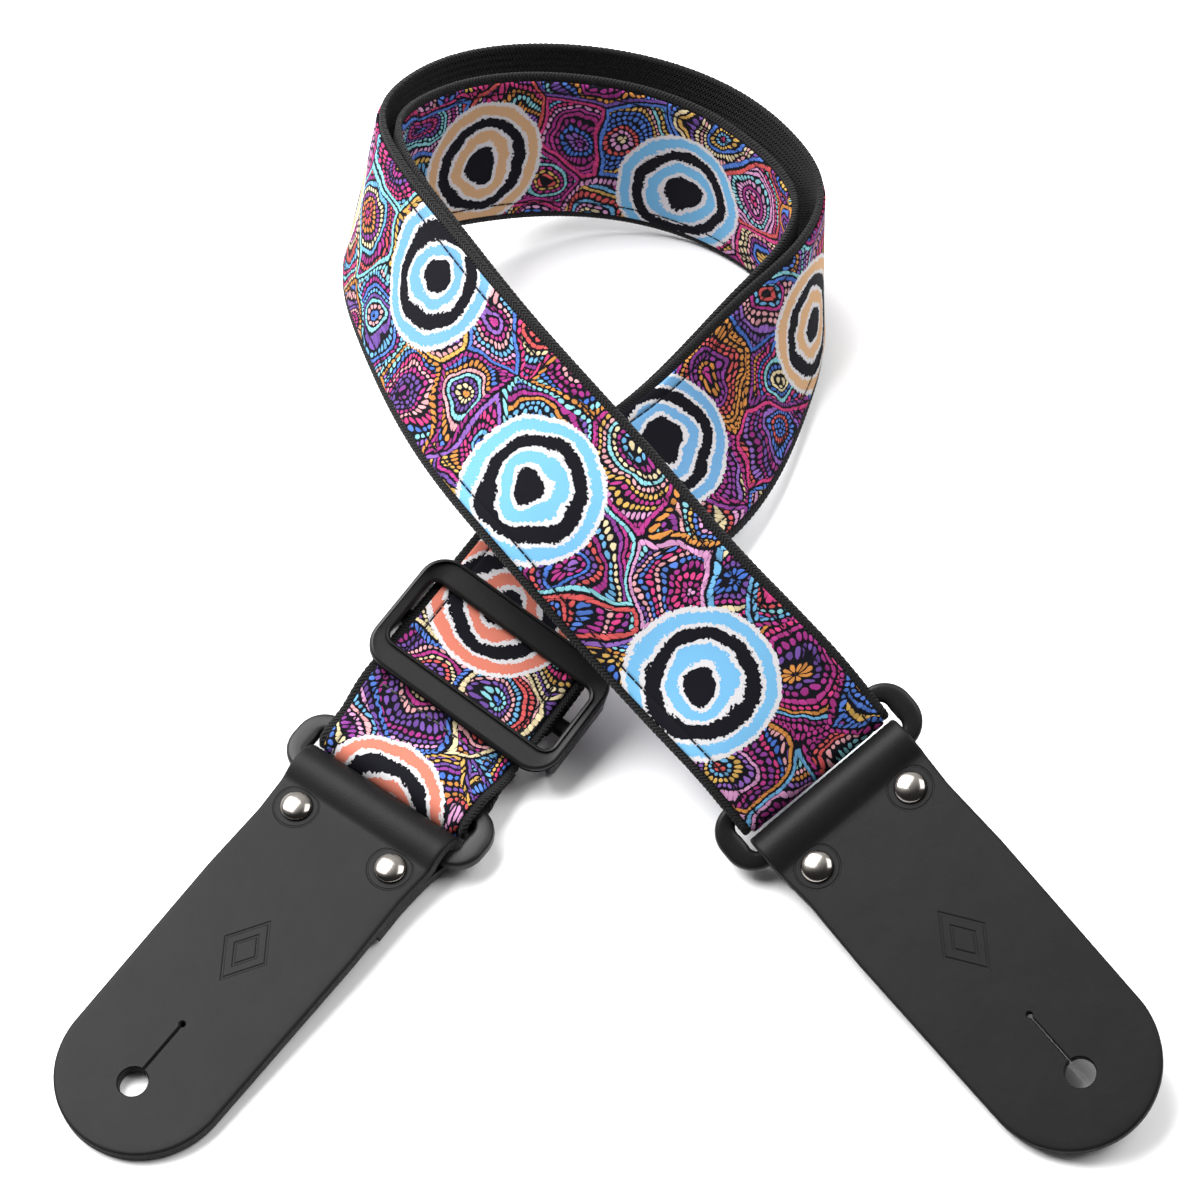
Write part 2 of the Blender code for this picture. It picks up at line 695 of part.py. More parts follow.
def stitch_nodes(lay):
    """Bar tacks through the sewn ends, each one row of thread beside its layers."""
    f = lay.outer_at(lay.total - LEFT_FLAP + 2.5 * MM)
    high = WEB_T / 2 + LAYER_GAP + FACE_T + 0.3 * MM
    outline = box_outline(FACE_W - 6 * MM, 1.2 * MM)
    prism("stitch_left", outline, f, high, high + STITCH_T, black_thread())


def main():
    clear_scene()
    lay = Layout()
    strap_nodes(lay)
    sewn_end(lay)
    slider_node(lay)
    stitch_nodes(lay)
    for side, end in (("left", lay.left), ("right", lay.right)):
        leather_bar, strap_bar = lay.bars[side]
        ring_node("ring_" + side, lay.rings[side], strap_bar)
        leather_node("leather_" + side, end, leather_bar)
        rivet_nodes(side, end, leather_bar)


main()
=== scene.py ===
import math

import bmesh
import bpy
import numpy as np
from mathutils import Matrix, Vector, geometry


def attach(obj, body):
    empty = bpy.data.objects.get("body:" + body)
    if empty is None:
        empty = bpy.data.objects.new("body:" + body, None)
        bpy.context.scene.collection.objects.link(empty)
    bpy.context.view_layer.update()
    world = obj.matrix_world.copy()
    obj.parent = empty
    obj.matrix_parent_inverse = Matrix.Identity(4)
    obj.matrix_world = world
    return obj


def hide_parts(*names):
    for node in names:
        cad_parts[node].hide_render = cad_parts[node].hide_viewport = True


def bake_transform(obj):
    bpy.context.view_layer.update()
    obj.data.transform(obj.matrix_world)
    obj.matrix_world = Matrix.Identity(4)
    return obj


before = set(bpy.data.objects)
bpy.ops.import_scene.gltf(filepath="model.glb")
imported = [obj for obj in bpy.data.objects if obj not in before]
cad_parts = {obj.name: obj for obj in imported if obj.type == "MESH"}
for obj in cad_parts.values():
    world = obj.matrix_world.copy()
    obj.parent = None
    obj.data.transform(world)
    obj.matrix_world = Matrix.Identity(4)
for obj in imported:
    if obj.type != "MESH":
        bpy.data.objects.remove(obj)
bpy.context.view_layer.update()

MM = 0.001

# ---------------------------------------------------------------- the strap's lie, as in part.py
STRAP_W = 50.0 * MM
WEB_T = 1.6 * MM
FACE_W = 45.0 * MM
JOINT_GAP = 0.15 * MM
RIB_PITCH = 1.7 * MM  # of the cords along the webbing's edge
STEP = RIB_PITCH / 4

# (upper edge, lower edge) in millimetres, before the shift to ORIGIN. Most rows are the rounded
# output of a fitting program, not values chosen by hand, and they remain an open failure.
STATIONS = (
    ((42, -30, 56), (5, -52, 30)),
    ((12, 2, 70), (-25, -23, 49)),
    ((-18, 36, 81), (-51, 15, 49)),
    ((-44, 74, 84), (-68, 58, 42)),
    ((-56, 94, 83), (-74, 81, 38)),
    ((-62, 116, 79), (-74, 103, 32)),
    ((-56, 137, 72), (-64, 123, 25)),
    ((-42, 154, 65), (-48, 139, 18)),
    ((0, 167, 55), (-7, 156, 7)),
    ((43, 152, 51), (38, 147, 1)),
    ((58, 134, 51), (55, 132, 1)),
    ((65, 112, 51), (66, 111, 1.5)),
    ((57, 90, 51), (67, 88, 3)),
    ((41, 74, 48), (61, 65, 4)),
    ((8, 43, 37), (41, 20, 9)),
)
ORIGIN = Vector((1.144, -1.138, 0.067)) * MM
# (share of the return's length, its distance inside the outer layer)
RETURN_GAPS = (
    (0.0, 7.1 * MM),
    (0.06, 3.6 * MM),
    (0.3, 2.8 * MM),
    (0.38, 3.6 * MM),
    (0.43, 7.0 * MM),
    (0.5, 13.0 * MM),
    (0.6, 13.5 * MM),
    (0.69, 11.0 * MM),
    (0.76, 6.5 * MM),
    (0.82, 3.2 * MM),
    (0.9, 2.8 * MM),
    (1.0, 2.9 * MM),
)
SAG_SHARE = 0.2
SAG_FROM = 3.0 * MM

RING_LENGTH = 65.0 * MM
RING_BAR = 4.8 * MM
RING_T = 3.8 * MM
BAR_PITCH = 14.5 * MM
RING_CORNER = 6.0 * MM
RING_END_MORE = 0.7
FOLD_R = 2.75 * MM
FOLD_SLACK = 2.7 * MM

LEATHER_T = 3.6 * MM
TIP = 18.5 * MM
TIP_R = 23.4 * MM
TIP_OVERRUN = math.degrees(math.asin(0.02))
TIP_CENTRE = 4.9 * MM  # from the button hole's middle, TIP_R less TIP
SIDE_HALF = 24.5 * MM
NECK_HALF = 24.1 * MM
NECK_AT = 78.0 * MM
FOLD_HALF = 25.0 * MM
LEATHER_BAR_AT = 96.0 * MM
FLAP_END = 68.0 * MM
BUTTON_R = 3.9 * MM
SLIT_W = 0.5 * MM
SLIT_END = 19.0 * MM
SLIT_END_R = 0.8 * MM
RIVET_AT = 84.0 * MM
RIVET_SIDE = 16.0 * MM
RIVET_R = 4.4 * MM
RIVET_DOME = 2.1 * MM

LEFT_END = ((-117.3, -150.8, 1.1), 53.9, 3.2, 0.0)
RIGHT_END = ((120.4, -150.8, 8.4), 127.1, 4.0, 20.0)
LEFT_RING_TURN = 1.0
RIGHT_RING_TURN = 18.0
RIGHT_LEAVE_TURN = 36.0
LEFT_RUN_PITCH = 9.0
RUN_ROLL = 13.0
ROLL_FROM = 2.5 * MM
ROLL_TO = 16.0 * MM
STRAIGHT_RUN = 80.0 * MM
LEFT_FLAP = 17.0 * MM
FLAP_DROP = 3.7 * MM

SLIDER_AT = 36.0 * MM
SLIDER_LONG = 62.0 * MM
SLIDER_SHORT = 37.0 * MM
SLIDER_CORNER = 8.0 * MM
WINDOW_LONG = 54.5 * MM
WINDOW_SHORT = 21.5 * MM
WINDOW_CORNER = 3.0 * MM
SLIDER_T = 3.2 * MM
POST_WIDTH = 25.0 * MM
SLIDER_ASIDE = 1.7 * MM
SLIDER_LIFT = 2.1 * MM
BAR_DROP = 5.4 * MM
BAR_HALF_T = 1.5 * MM
BAR_HALF_W = 2.5 * MM
SEWN_REACH = 32.0 * MM
FREE_REACH = 60.0 * MM
SEWN_FLAP = 20.0 * MM
WRAP_R = 2.6 * MM


class Frame:
    """A point with three directions: across, along and normal."""

    def __init__(self, point, across, along, normal):
        self.point = Vector(point)
        self.across = Vector(across).normalized()
        self.along = Vector(along).normalized()
        self.normal = Vector(normal).normalized()

    def at(self, x, y, z):
        return self.point + self.across * x + self.along * y + self.normal * z

    def turned(self, degrees, point=None):
        c, s = math.cos(math.radians(degrees)), math.sin(math.radians(degrees))
        along = self.along * c + self.normal * s
        normal = self.normal * c - self.along * s
        return Frame(self.point if point is None else point, self.across, along, normal)


def end_frame(place, heading, pitch, roll):
    a, b, g = (math.radians(v) for v in (heading, pitch, roll))
    along = Vector((math.cos(a) * math.cos(b), math.sin(a) * math.cos(b), math.sin(b)))
    level = Vector((math.sin(a), -math.cos(a), 0))
    normal = level.cross(along)
    across = level * math.cos(g) + normal * math.sin(g)
    return Frame(Vector(place) * MM - ORIGIN, across, along, across.cross(along))


def natural_spline(knots, values):
    knots, values = np.array(knots, float), np.array(values, float)
    n, h = len(knots), np.diff(knots)
    lhs, rhs = np.eye(n), np.zeros_like(values)
    for i in range(1, n - 1):
        lhs[i, i - 1 : i + 2] = h[i - 1], 2 * (h[i - 1] + h[i]), h[i]
        slopes = (values[i + 1] - values[i]) / h[i] - (values[i] - values[i - 1]) / h[i - 1]
        rhs[i] = 6 * slopes
    bend = np.linalg.solve(lhs, rhs)

    def at(s):
        i = int(np.clip(np.searchsorted(knots, s) - 1, 0, n - 2))
        left, right, width = s - knots[i], knots[i + 1] - s, h[i]
        curve = (bend[i] * right**3 + bend[i + 1] * left**3) / (6 * width)
        start = (values[i] / width - bend[i] * width / 6) * right
        end = (values[i + 1] / width - bend[i + 1] * width / 6) * left
        return curve + start + end

    return at


def frames_through(points, acrosses, flip=1.0):
    frames = []
    for i, point in enumerate(points):
        before, after = points[max(i - 1, 0)], points[min(i + 1, len(points) - 1)]
        along = (after - before).normalized()
        across = acrosses[i] - along * acrosses[i].dot(along)
        frames.append(Frame(point, across, along, across.cross(along) * flip))
    return frames


def bump_share(share):
    return float(np.clip(4 - abs(share - 0.58) / 0.07, 0, 1))


def fold(start, centre, turn, slack=0.0, steps=26):
    reach = (start.point - centre).length
    shift = start.along * turn * slack
    frames = []
    for i in range(steps + 1):
        a = math.pi * i / steps
        out = start.normal * math.cos(a) + start.along * turn * math.sin(a)
        along = start.along * math.cos(a) - start.normal * turn * math.sin(a)
        frames.append(Frame(centre + shift + out * reach, start.across, along, out))
    if slack:
        first, last, n = frames[0], frames[-1], 6
        before = [first.turned(0, first.point - shift * (1 - i / n)) for i in range(n)]
        after = [last.turned(0, last.point - shift * (i + 1) / n) for i in range(n)]
        frames = before + frames + after
    return frames


class Layout:
    """The frames of everything, worked out from the two leather ends and STATIONS."""

    def __init__(self):
        self.left = end_frame(*LEFT_END)
        self.right = end_frame(*RIGHT_END)
        self.rings, self.bars = {}, {}
        for side, end, turn in (
            ("left", self.left, LEFT_RING_TURN),
            ("right", self.right, RIGHT_RING_TURN),
        ):
            leather_bar = end.at(0, LEATHER_BAR_AT, 0)
            ring = end.turned(turn, leather_bar)
            self.rings[side] = ring.turned(0, ring.at(0, BAR_PITCH / 2, 0))
            self.bars[side] = (leather_bar, ring.at(0, BAR_PITCH, 0))
        self.fold_mid = FOLD_R + WEB_T / 2
        leave = self.right.turned(RIGHT_LEAVE_TURN, self.bars["right"][1])
        self.leave = leave.turned(0, leave.at(0, 0, self.fold_mid))
        run = self.left.turned(LEFT_RUN_PITCH - LEFT_END[2], self.bars["left"][1])
        self.run = run.turned(0, run.at(0, 0, self.fold_mid))
        self.trace()

    def trace(self):
        centres = [self.leave.point, self.leave.at(0, 12 * MM, 0)]
        acrosses = [self.leave.across, self.leave.across]
        for upper, lower in STATIONS:
            upper, lower = Vector(upper) * MM - ORIGIN, Vector(lower) * MM - ORIGIN
            centres.append((upper + lower) / 2)
            acrosses.append((upper - lower).normalized())
        for reach in (STRAIGHT_RUN, STRAIGHT_RUN - 12 * MM):
            f = self.run_at(reach)
            centres.append(f.point)
            acrosses.append(f.across)
        steps = [(b - a).length for a, b in zip(centres, centres[1:])]
        knots = np.concatenate([[0], np.cumsum(steps)])
        centre, across = natural_spline(knots, centres), natural_spline(knots, acrosses)
        end = knots[-2]
        fine = np.linspace(0, end, 4000)
        spots = np.array([centre(s) for s in fine])
        lengths = np.concatenate([[0], np.cumsum(np.linalg.norm(np.diff(spots, axis=0), axis=1))])
        self.bend = float(lengths[-1])
        count = round(self.bend / STEP)
        chosen = [np.interp(self.bend * i / count, lengths, fine) for i in range(count + 1)]
        self.points = [Vector(centre(s)) for s in chosen]
        self.acrosses = [Vector(across(s)) for s in chosen]
        self.outer = frames_through(self.points, self.acrosses)
        self.step = self.bend / count
        self.total = self.bend + STRAIGHT_RUN
        self.gaps = natural_spline([g[0] for g in RETURN_GAPS], [g[1] for g in RETURN_GAPS])

    def run_at(self, reach):
        share = float(np.clip((reach - ROLL_FROM) / (ROLL_TO - ROLL_FROM), 0, 1))
        roll = math.radians(RUN_ROLL) * share * share * (3 - 2 * share)
        c, s, f = math.cos(roll), math.sin(roll), self.run
        across, normal = f.normal * s - f.across * c, f.normal * c + f.across * s
        return Frame(f.at(0, reach, 0), across, -f.along, normal)

    def outer_at(self, s):
        if s >= self.bend:
            return self.run_at(self.total - s)
        k = min(int(s / self.step), len(self.outer) - 2)
        t = s / self.step - k
        a, b = self.outer[k], self.outer[k + 1]
        parts = ("point", "across", "along", "normal")
        return Frame(*[getattr(a, part).lerp(getattr(b, part), t) for part in parts])

    def return_point(self, s):
        f = self.outer_at(s)
        share = s / (self.total - SLIDER_AT - SEWN_REACH)
        gap = float(self.gaps(min(max(share, 0.0), 1.0)))
        sag = SAG_SHARE * max(0.0, gap - SAG_FROM) * bump_share(share)
        return f.point - f.normal * gap - f.across * sag

    def return_at(self, s):
        reach = 2 * MM
        near, far = max(s - reach, 0.0), s + reach
        along = (self.return_point(far) - self.return_point(near)).normalized()
        across = self.outer_at(s).across
        across = across - along * across.dot(along)
        return Frame(self.return_point(s), across, along, along.cross(across))

    def slider(self):
        return self.outer_at(self.total - SLIDER_AT)


lay = Layout()


# ---------------------------------------------------------------- node graphs
def srgb(r, g, b):
    """A linear colour from 0 to 1 display values."""
    return tuple(c / 12.92 if c <= 0.04045 else ((c + 0.055) / 1.055) ** 2.4 for c in (r, g, b))


class Graph:
    """A material's node tree, with one short call for each kind of node."""

    def __init__(self, name):
        self.material = bpy.data.materials.new(name)
        self.material.use_nodes = True
        self.tree = self.material.node_tree
        self.shader = self.tree.nodes["Principled BSDF"]

    def new(self, kind, **settings):
        node = self.tree.nodes.new(kind)
        for key, value in settings.items():
            setattr(node, key, value)
        return node

    def put(self, socket, value):
        if isinstance(value, bpy.types.NodeSocket):
            self.tree.links.new(value, socket)
        elif isinstance(value, (tuple, list)) and len(value) == 3 and socket.type == "RGBA":
            socket.default_value = (*value, 1.0)
        else:
            socket.default_value = value

    def math(self, operation, *values):
        node = self.new("ShaderNodeMath", operation=operation)
        for socket, value in zip(node.inputs, values):
            self.put(socket, value)
        return node.outputs[0]

    def add(self, a, b):
        return self.math("ADD", a, b)

    def sub(self, a, b):
        return self.math("SUBTRACT", a, b)

    def mul(self, a, b):
        return self.math("MULTIPLY", a, b)

    def div(self, a, b):
        return self.math("DIVIDE", a, b)

    def less(self, a, b):
        return self.math("LESS_THAN", a, b)

    def most(self, a, b):
        return self.math("MAXIMUM", a, b)

    def absolute(self, a):
        return self.math("ABSOLUTE", a)

    def length(self, a, b):
        return self.math("SQRT", self.add(self.mul(a, a), self.mul(b, b)))

    def vmath(self, operation, a, b):
        node = self.new("ShaderNodeVectorMath", operation=operation)
        self.put(node.inputs[0], a)
        self.put(node.inputs[1], b)
        return node.outputs[0]

    def vscale(self, a, factor):
        node = self.new("ShaderNodeVectorMath", operation="SCALE")
        self.put(node.inputs[0], a)
        self.put(node.inputs["Scale"], factor)
        return node.outputs[0]

    def join(self, x, y, z=0.0):
        node = self.new("ShaderNodeCombineXYZ")
        for socket, value in zip(node.inputs, (x, y, z)):
            self.put(socket, value)
        return node.outputs[0]

    def split(self, vector):
        node = self.new("ShaderNodeSeparateXYZ")
        self.put(node.inputs[0], vector)
        return node.outputs[0], node.outputs[1], node.outputs[2]

    def uv(self):
        return self.new("ShaderNodeUVMap", uv_map="flat").outputs[0]

    def noise(self, vector, scale, detail=2.0, out="Fac"):
        node = self.new("ShaderNodeTexNoise", noise_dimensions="3D")
        self.put(node.inputs["Vector"], vector)
        node.inputs["Scale"].default_value = scale
        node.inputs["Detail"].default_value = detail
        return node.outputs[out]

    def voronoi(self, vector, scale, feature, randomness=1.0):
        node = self.new("ShaderNodeTexVoronoi", voronoi_dimensions="2D", feature=feature)
        self.put(node.inputs["Vector"], vector)
        node.inputs["Scale"].default_value = scale
        node.inputs["Randomness"].default_value = randomness
        return node

    def white(self, vector):
        node = self.new("ShaderNodeTexWhiteNoise", noise_dimensions="3D")
        self.put(node.inputs["Vector"], vector)
        return node.outputs["Value"], node.outputs["Color"]

    def steps(self, value, stops):
        node = self.new("ShaderNodeValToRGB")
        band = node.color_ramp
        band.interpolation = "CONSTANT"
        while len(band.elements) < len(stops):
            band.elements.new(0.5)
        for element, (place, colour) in zip(band.elements, stops):
            element.position = place
            element.color = (*colour, 1.0)
        self.put(node.inputs[0], value)
        return node.outputs[0]

    def spread(self, value, low, high, to_low=0.0, to_high=1.0):
        node = self.new("ShaderNodeMapRange", interpolation_type="SMOOTHSTEP")
        for socket, v in zip(node.inputs, (value, low, high, to_low, to_high)):
            self.put(socket, v)
        return node.outputs[0]

    def mix(self, factor, a, b, blend="MIX"):
        node = self.new("ShaderNodeMix", data_type="RGBA", blend_type=blend)
        self.put(node.inputs["Factor"], factor)
        self.put(node.inputs[6], a)
        self.put(node.inputs[7], b)
        return node.outputs[2]

    def bump(self, height, distance, strength=1.0):
        node = self.new("ShaderNodeBump")
        self.put(node.inputs["Height"], height)
        node.inputs["Distance"].default_value = distance
        node.inputs["Strength"].default_value = strength
        self.put(self.shader.inputs["Normal"], node.outputs[0])

    def finish(self, colour=None, roughness=None, metallic=None, sheen=None, specular=None):
        for name, value in (
            ("Base Color", colour),
            ("Roughness", roughness),
            ("Metallic", metallic),
            ("Sheen Weight", sheen),
            ("Specular IOR Level", specular),
        ):
            if value is not None:
                self.put(self.shader.inputs[name], value)
        return self.material


PALETTE = (
    (0.66, 0.22, 0.54),
    (0.46, 0.32, 0.64),
    (0.30, 0.47, 0.82),
    (0.85, 0.27, 0.52),
    (0.85, 0.68, 0.36),
    (0.44, 0.70, 0.88),
    (0.57, 0.26, 0.60),
    (0.91, 0.66, 0.68),
    (0.86, 0.36, 0.36),
    (0.34, 0.50, 0.84),
    (0.73, 0.24, 0.55),
    (0.55, 0.82, 0.86),
    (0.84, 0.56, 0.28),
    (0.87, 0.62, 0.80),
    (0.90, 0.83, 0.66),
    (0.58, 0.40, 0.74),
)
BLUE, PEACH, SALMON, ICE = (
    (0.47, 0.73, 0.90),
    (0.86, 0.69, 0.52),
    (0.86, 0.50, 0.42),
    (0.45, 0.67, 0.85),
)
RETURN_FROM = 2000.0  # the return's lengths count down from here
ROUNDEL_PITCH = 68.0  # mm along the strap from one ringed circle to the next
ROUNDEL_R = 21.0
ROUNDEL_ASIDE = 13.0  # the furthest a circle sits from the middle of the strap
BAND = 1.8  # mm from one dotted line to the next
DOT_PITCH = 1.7  # mm along a dotted line
CELL = 25.0  # mm between the middles of the nests of lines
HEM_SIDE = 19.0  # mm from the middle of the facing to each row of hem stitches
HEM_STITCH = 2.9  # mm along a row
NAVY = srgb(0.055, 0.055, 0.09)
WHITE = srgb(0.86, 0.85, 0.86)


def dotted_nests(g, uv):
    """(colour, cover) of nested dotted outlines round scattered middles."""
    warp = g.vmath("SUBTRACT", g.noise(uv, 0.05, 1.0, "Color"), (0.5, 0.5, 0.5))
    place = g.vmath("ADD", uv, g.vscale(warp, 14.0))
    fine = g.vmath("SUBTRACT", g.noise(uv, 0.35, 1.0, "Color"), (0.5, 0.5, 0.5))
    place = g.vmath("ADD", place, g.vscale(fine, 0.6))
    cells = g.voronoi(place, 1 / CELL, "F1", 0.9)
    edge = g.voronoi(place, 1 / CELL, "DISTANCE_TO_EDGE", 0.9)
    out_x, out_y, _ = g.split(g.vmath("SUBTRACT", place, cells.outputs["Position"]))
    wander = g.mul(g.sub(g.noise(uv, 0.12, 1.0), 0.5), 6.0)
    level = g.div(g.most(g.add(g.length(out_x, out_y), wander), 0.0), BAND)
    ring, v = g.math("FLOOR", level), g.math("FRACT", level)
    inset = g.mul(edge.outputs["Distance"], CELL / BAND)
    outline = g.less(inset, 0.9)
    ring = g.add(ring, g.mul(outline, g.sub(20.0, ring)))
    v = g.add(v, g.mul(outline, g.sub(inset, v)))
    angle = g.math("ARCTAN2", out_y, out_x)
    cell_id = g.vscale(cells.outputs["Color"], 91.0)
    seed, seeds = g.white(g.vmath("ADD", cell_id, g.join(0.0, 0.0, g.mul(ring, 7.0))))
    _, style, phase = g.split(seeds)
    around = g.mul(g.add(g.math("FLOOR", level), 0.5), 2 * math.pi * BAND / DOT_PITCH)
    turn = g.add(g.mul(angle, g.div(g.math("ROUND", around), 2 * math.pi)), phase)
    u = g.math("FRACT", turn)
    across = g.mul(g.absolute(g.sub(v, 0.5)), 2.0)
    along = g.mul(g.absolute(g.sub(u, 0.5)), 2.0)
    ragged = g.mul(g.sub(g.noise(uv, 2.4, 1.0), 0.5), 0.4)
    dot = g.length(g.div(along, 0.78), g.div(across, 0.76))
    long_stitch = g.add(g.math("POWER", along, 8.0), g.div(across, 0.66))
    dotted = g.less(style, g.sub(0.82, g.mul(outline, 0.25)))
    size = g.add(g.mul(dot, dotted), g.mul(long_stitch, g.sub(1.0, dotted)))
    cover = g.spread(g.add(size, ragged), 1.04, 0.86)
    stops = [(i / len(PALETTE), srgb(*colour)) for i, colour in enumerate(PALETTE)]
    colour = g.steps(seed, stops)
    each, _ = g.white(g.join(g.math("FLOOR", turn), ring, g.mul(seed, 97.0)))
    tone = g.add(0.70, g.mul(each, 0.42))
    colour = g.mix(1.0, colour, g.join(tone, tone, tone), "MULTIPLY")
    return colour, cover


def roundels(g, uv):
    """(colour, inside) of wobbly ringed circles spaced evenly along the strap."""
    s, x, _ = g.split(uv)
    wobble = g.mul(g.sub(g.noise(uv, 0.11, 1.0), 0.5), 0.30)
    wobble = g.add(wobble, g.mul(g.sub(g.noise(uv, 0.03, 1.0), 0.5), 0.5))
    ragged = g.mul(g.sub(g.noise(uv, 1.1, 2.0), 0.5), 0.11)
    turn = g.div(s, ROUNDEL_PITCH)
    place = g.mul(g.sub(g.math("FRACT", turn), 0.5), ROUNDEL_PITCH)
    pick, seeds = g.white(g.join(g.math("FLOOR", turn), 3.0))
    side = g.mul(g.sub(g.split(seeds)[0], 0.5), 2 * ROUNDEL_ASIDE)
    best = g.div(g.length(place, g.sub(x, side)), ROUNDEL_R)
    tints = (BLUE, PEACH, SALMON, ICE)
    stops = [(i / len(tints), srgb(*colour)) for i, colour in enumerate(tints)]
    tint = g.steps(pick, stops)
    level = g.add(g.add(best, g.mul(wobble, g.spread(best, 1.1, 0.2, 0.25, 1.0))), ragged)
    inside = g.less(level, 1.0)
    kind = g.steps(
        level,
        [
            (0.0, (0, 0, 0)),
            (0.26, (1, 1, 1)),
            (0.33, (0.5, 0.5, 0.5)),
            (0.50, (1, 1, 1)),
            (0.56, (0, 0, 0)),
            (0.74, (1, 1, 1)),
            (0.79, (0.5, 0.5, 0.5)),
            (0.94, (1, 1, 1)),
        ],
    )
    middle = g.mix(g.less(kind, 0.25), tint, NAVY)
    return g.mix(g.less(0.75, kind), middle, WHITE), inside


def facing_material():
    g = Graph("facing_fabric")
    uv = g.uv()
    s, x, _ = g.split(uv)
    dots, cover = dotted_nests(g, uv)
    ground = g.mix(cover, NAVY, dots)
    rings, inside = roundels(g, uv)
    colour = g.mix(inside, ground, rings)

    weft = g.math("SINE", g.mul(s, 2 * math.pi / 0.62))
    warp = g.math("SINE", g.mul(x, 2 * math.pi / 0.50))
    weave = g.mul(weft, warp)
    tone = g.add(0.95, g.mul(weave, 0.10))
    colour = g.mix(1.0, colour, g.join(tone, tone, tone), "MULTIPLY")

    hem = g.absolute(g.sub(g.absolute(x), HEM_SIDE))
    dash = g.math("FRACT", g.div(s, HEM_STITCH))
    thread = g.mul(g.less(hem, 0.24), g.less(dash, 0.86))
    # the groove along each row of hem stitches; the colour darkens towards navy in it as painted shade
    hem_groove_and_shade = g.spread(hem, 0.9, 0.1)
    colour = g.mix(g.mul(hem_groove_and_shade, 0.35), colour, NAVY)
    colour = g.mix(thread, colour, srgb(0.07, 0.07, 0.09))

    height = g.add(g.mul(g.most(cover, inside), 0.5), g.mul(weave, 0.16))
    height = g.sub(height, g.mul(hem_groove_and_shade, 0.8))
    height = g.add(height, g.mul(thread, 0.5))
    height = g.add(height, g.mul(g.noise(uv, 0.12, 2.0), 1.0))
    g.bump(height, 0.00022, 0.8)
    colour = g.mix(1.0, colour, (0.72, 0.72, 0.72, 1.0), "MULTIPLY")
    return g.finish(colour, 0.85, 0.0, 0.0, 0.12)


def webbing_material():
    g = Graph("webbing_ribbed")
    uv = g.uv()
    s, x, _ = g.split(uv)
    left = g.math("SINE", g.mul(g.add(s, x), 2 * math.pi / 1.1))
    right = g.math("SINE", g.mul(g.sub(s, x), 2 * math.pi / 1.1))
    rib = g.math("FRACT", g.div(x, 2.2))
    twill = g.add(g.mul(left, g.less(rib, 0.5)), g.mul(right, g.less(0.5, rib)))
    fibres = g.noise(g.join(g.mul(s, 0.6), g.mul(x, 3.0)), 2.0, 3.0)
    tone = g.add(g.add(0.007, g.mul(twill, 0.002)), g.mul(fibres, 0.009))
    g.bump(g.add(twill, fibres), 0.00018, 0.9)
    return g.finish(g.join(tone, tone, g.mul(tone, 1.04)), 0.9, 0.0, 0.05, 0.10)


def leather_material():
    g = Graph("leather_satin")
    uv = g.uv()
    x, y, _ = g.split(uv)
    grain = g.voronoi(uv, 1.5, "DISTANCE_TO_EDGE").outputs["Distance"]
    pores = g.noise(uv, 2.6, 3.0)
    broad = g.noise(uv, 0.07, 3.0)
    height = g.add(g.mul(g.spread(grain, 0.0, 0.25), 0.05), g.mul(pores, 0.10))
    height = g.add(height, g.mul(broad, 0.9))
    # pressed circles round the rivets
    reach = g.length(g.sub(g.absolute(x), RIVET_SIDE / MM), g.sub(y, RIVET_AT / MM))
    pressed = g.mul(g.spread(reach, 5.7, 6.0), g.spread(reach, 6.5, 6.2))
    # a plain pressed lozenge within a lozenge
    for size in (1.0, 0.52):
        lozenge = g.add(g.div(g.absolute(x), 6.6 * size), g.div(g.absolute(g.sub(y, 44.0)), 9.6 * size))
        line = g.spread(g.absolute(g.sub(lozenge, 1.0)), 0.10 / size, 0.02 / size)
        pressed = g.most(pressed, line)
    height = g.sub(height, g.mul(pressed, 1.2))
    g.bump(height, 0.00022, 0.75)
    tone = g.add(0.0045, g.mul(broad, 0.004))
    rough = g.add(0.40, g.mul(pores, 0.16))
    return g.finish(g.join(tone, g.mul(tone, 0.96), g.mul(tone, 0.98)), rough, 0.0, 0.0, 0.105)


def cut_edge_material():
    g = Graph("leather_cut_edge")
    place = g.new("ShaderNodeTexCoord").outputs["Object"]
    fibres = g.noise(place, 1600.0, 3.0)
    streaks = g.noise(place, 5200.0, 2.0)
    tone = g.add(0.004, g.mul(fibres, 0.022))
    g.bump(g.add(fibres, streaks), 0.0005, 1.0)
    return g.finish(g.join(tone, g.mul(tone, 0.92), g.mul(tone, 0.88)), 0.92, 0.0, 0.1, 0.15)


def moulded_material(name, level, roughness):
    g = Graph(name)
    place = g.new("ShaderNodeTexCoord").outputs["Object"]
    speck = g.noise(place, 2600.0, 2.0)
    cloud = g.noise(place, 140.0, 2.0)
    tone = g.add(level, g.mul(cloud, level * 0.4))
    g.bump(speck, 0.00006, 0.7)
    rough = g.add(roughness, g.mul(cloud, 0.10))
    return g.finish(g.join(tone, tone, g.mul(tone, 1.03)), rough, 0.0, 0.0, 0.22)


def nickel_material():
    g = Graph("nickel_polished")
    place = g.new("ShaderNodeTexCoord").outputs["Object"]
    smear = g.noise(place, 420.0, 3.0)
    g.bump(smear, 0.00003, 0.35)
    rough = g.add(0.12, g.mul(smear, 0.12))
    return g.finish(srgb(0.56, 0.54, 0.52), rough, 1.0)


def thread_material():
    g = Graph("thread_twisted")
    place = g.new("ShaderNodeTexCoord").outputs["Object"]
    twist = g.noise(place, 3000.0, 2.0)
    tone = g.add(0.010, g.mul(twist, 0.02))
    g.bump(twist, 0.0001, 0.8)
    return g.finish(g.join(tone, tone, tone), 0.6, 0.0, 0.2, 0.4)


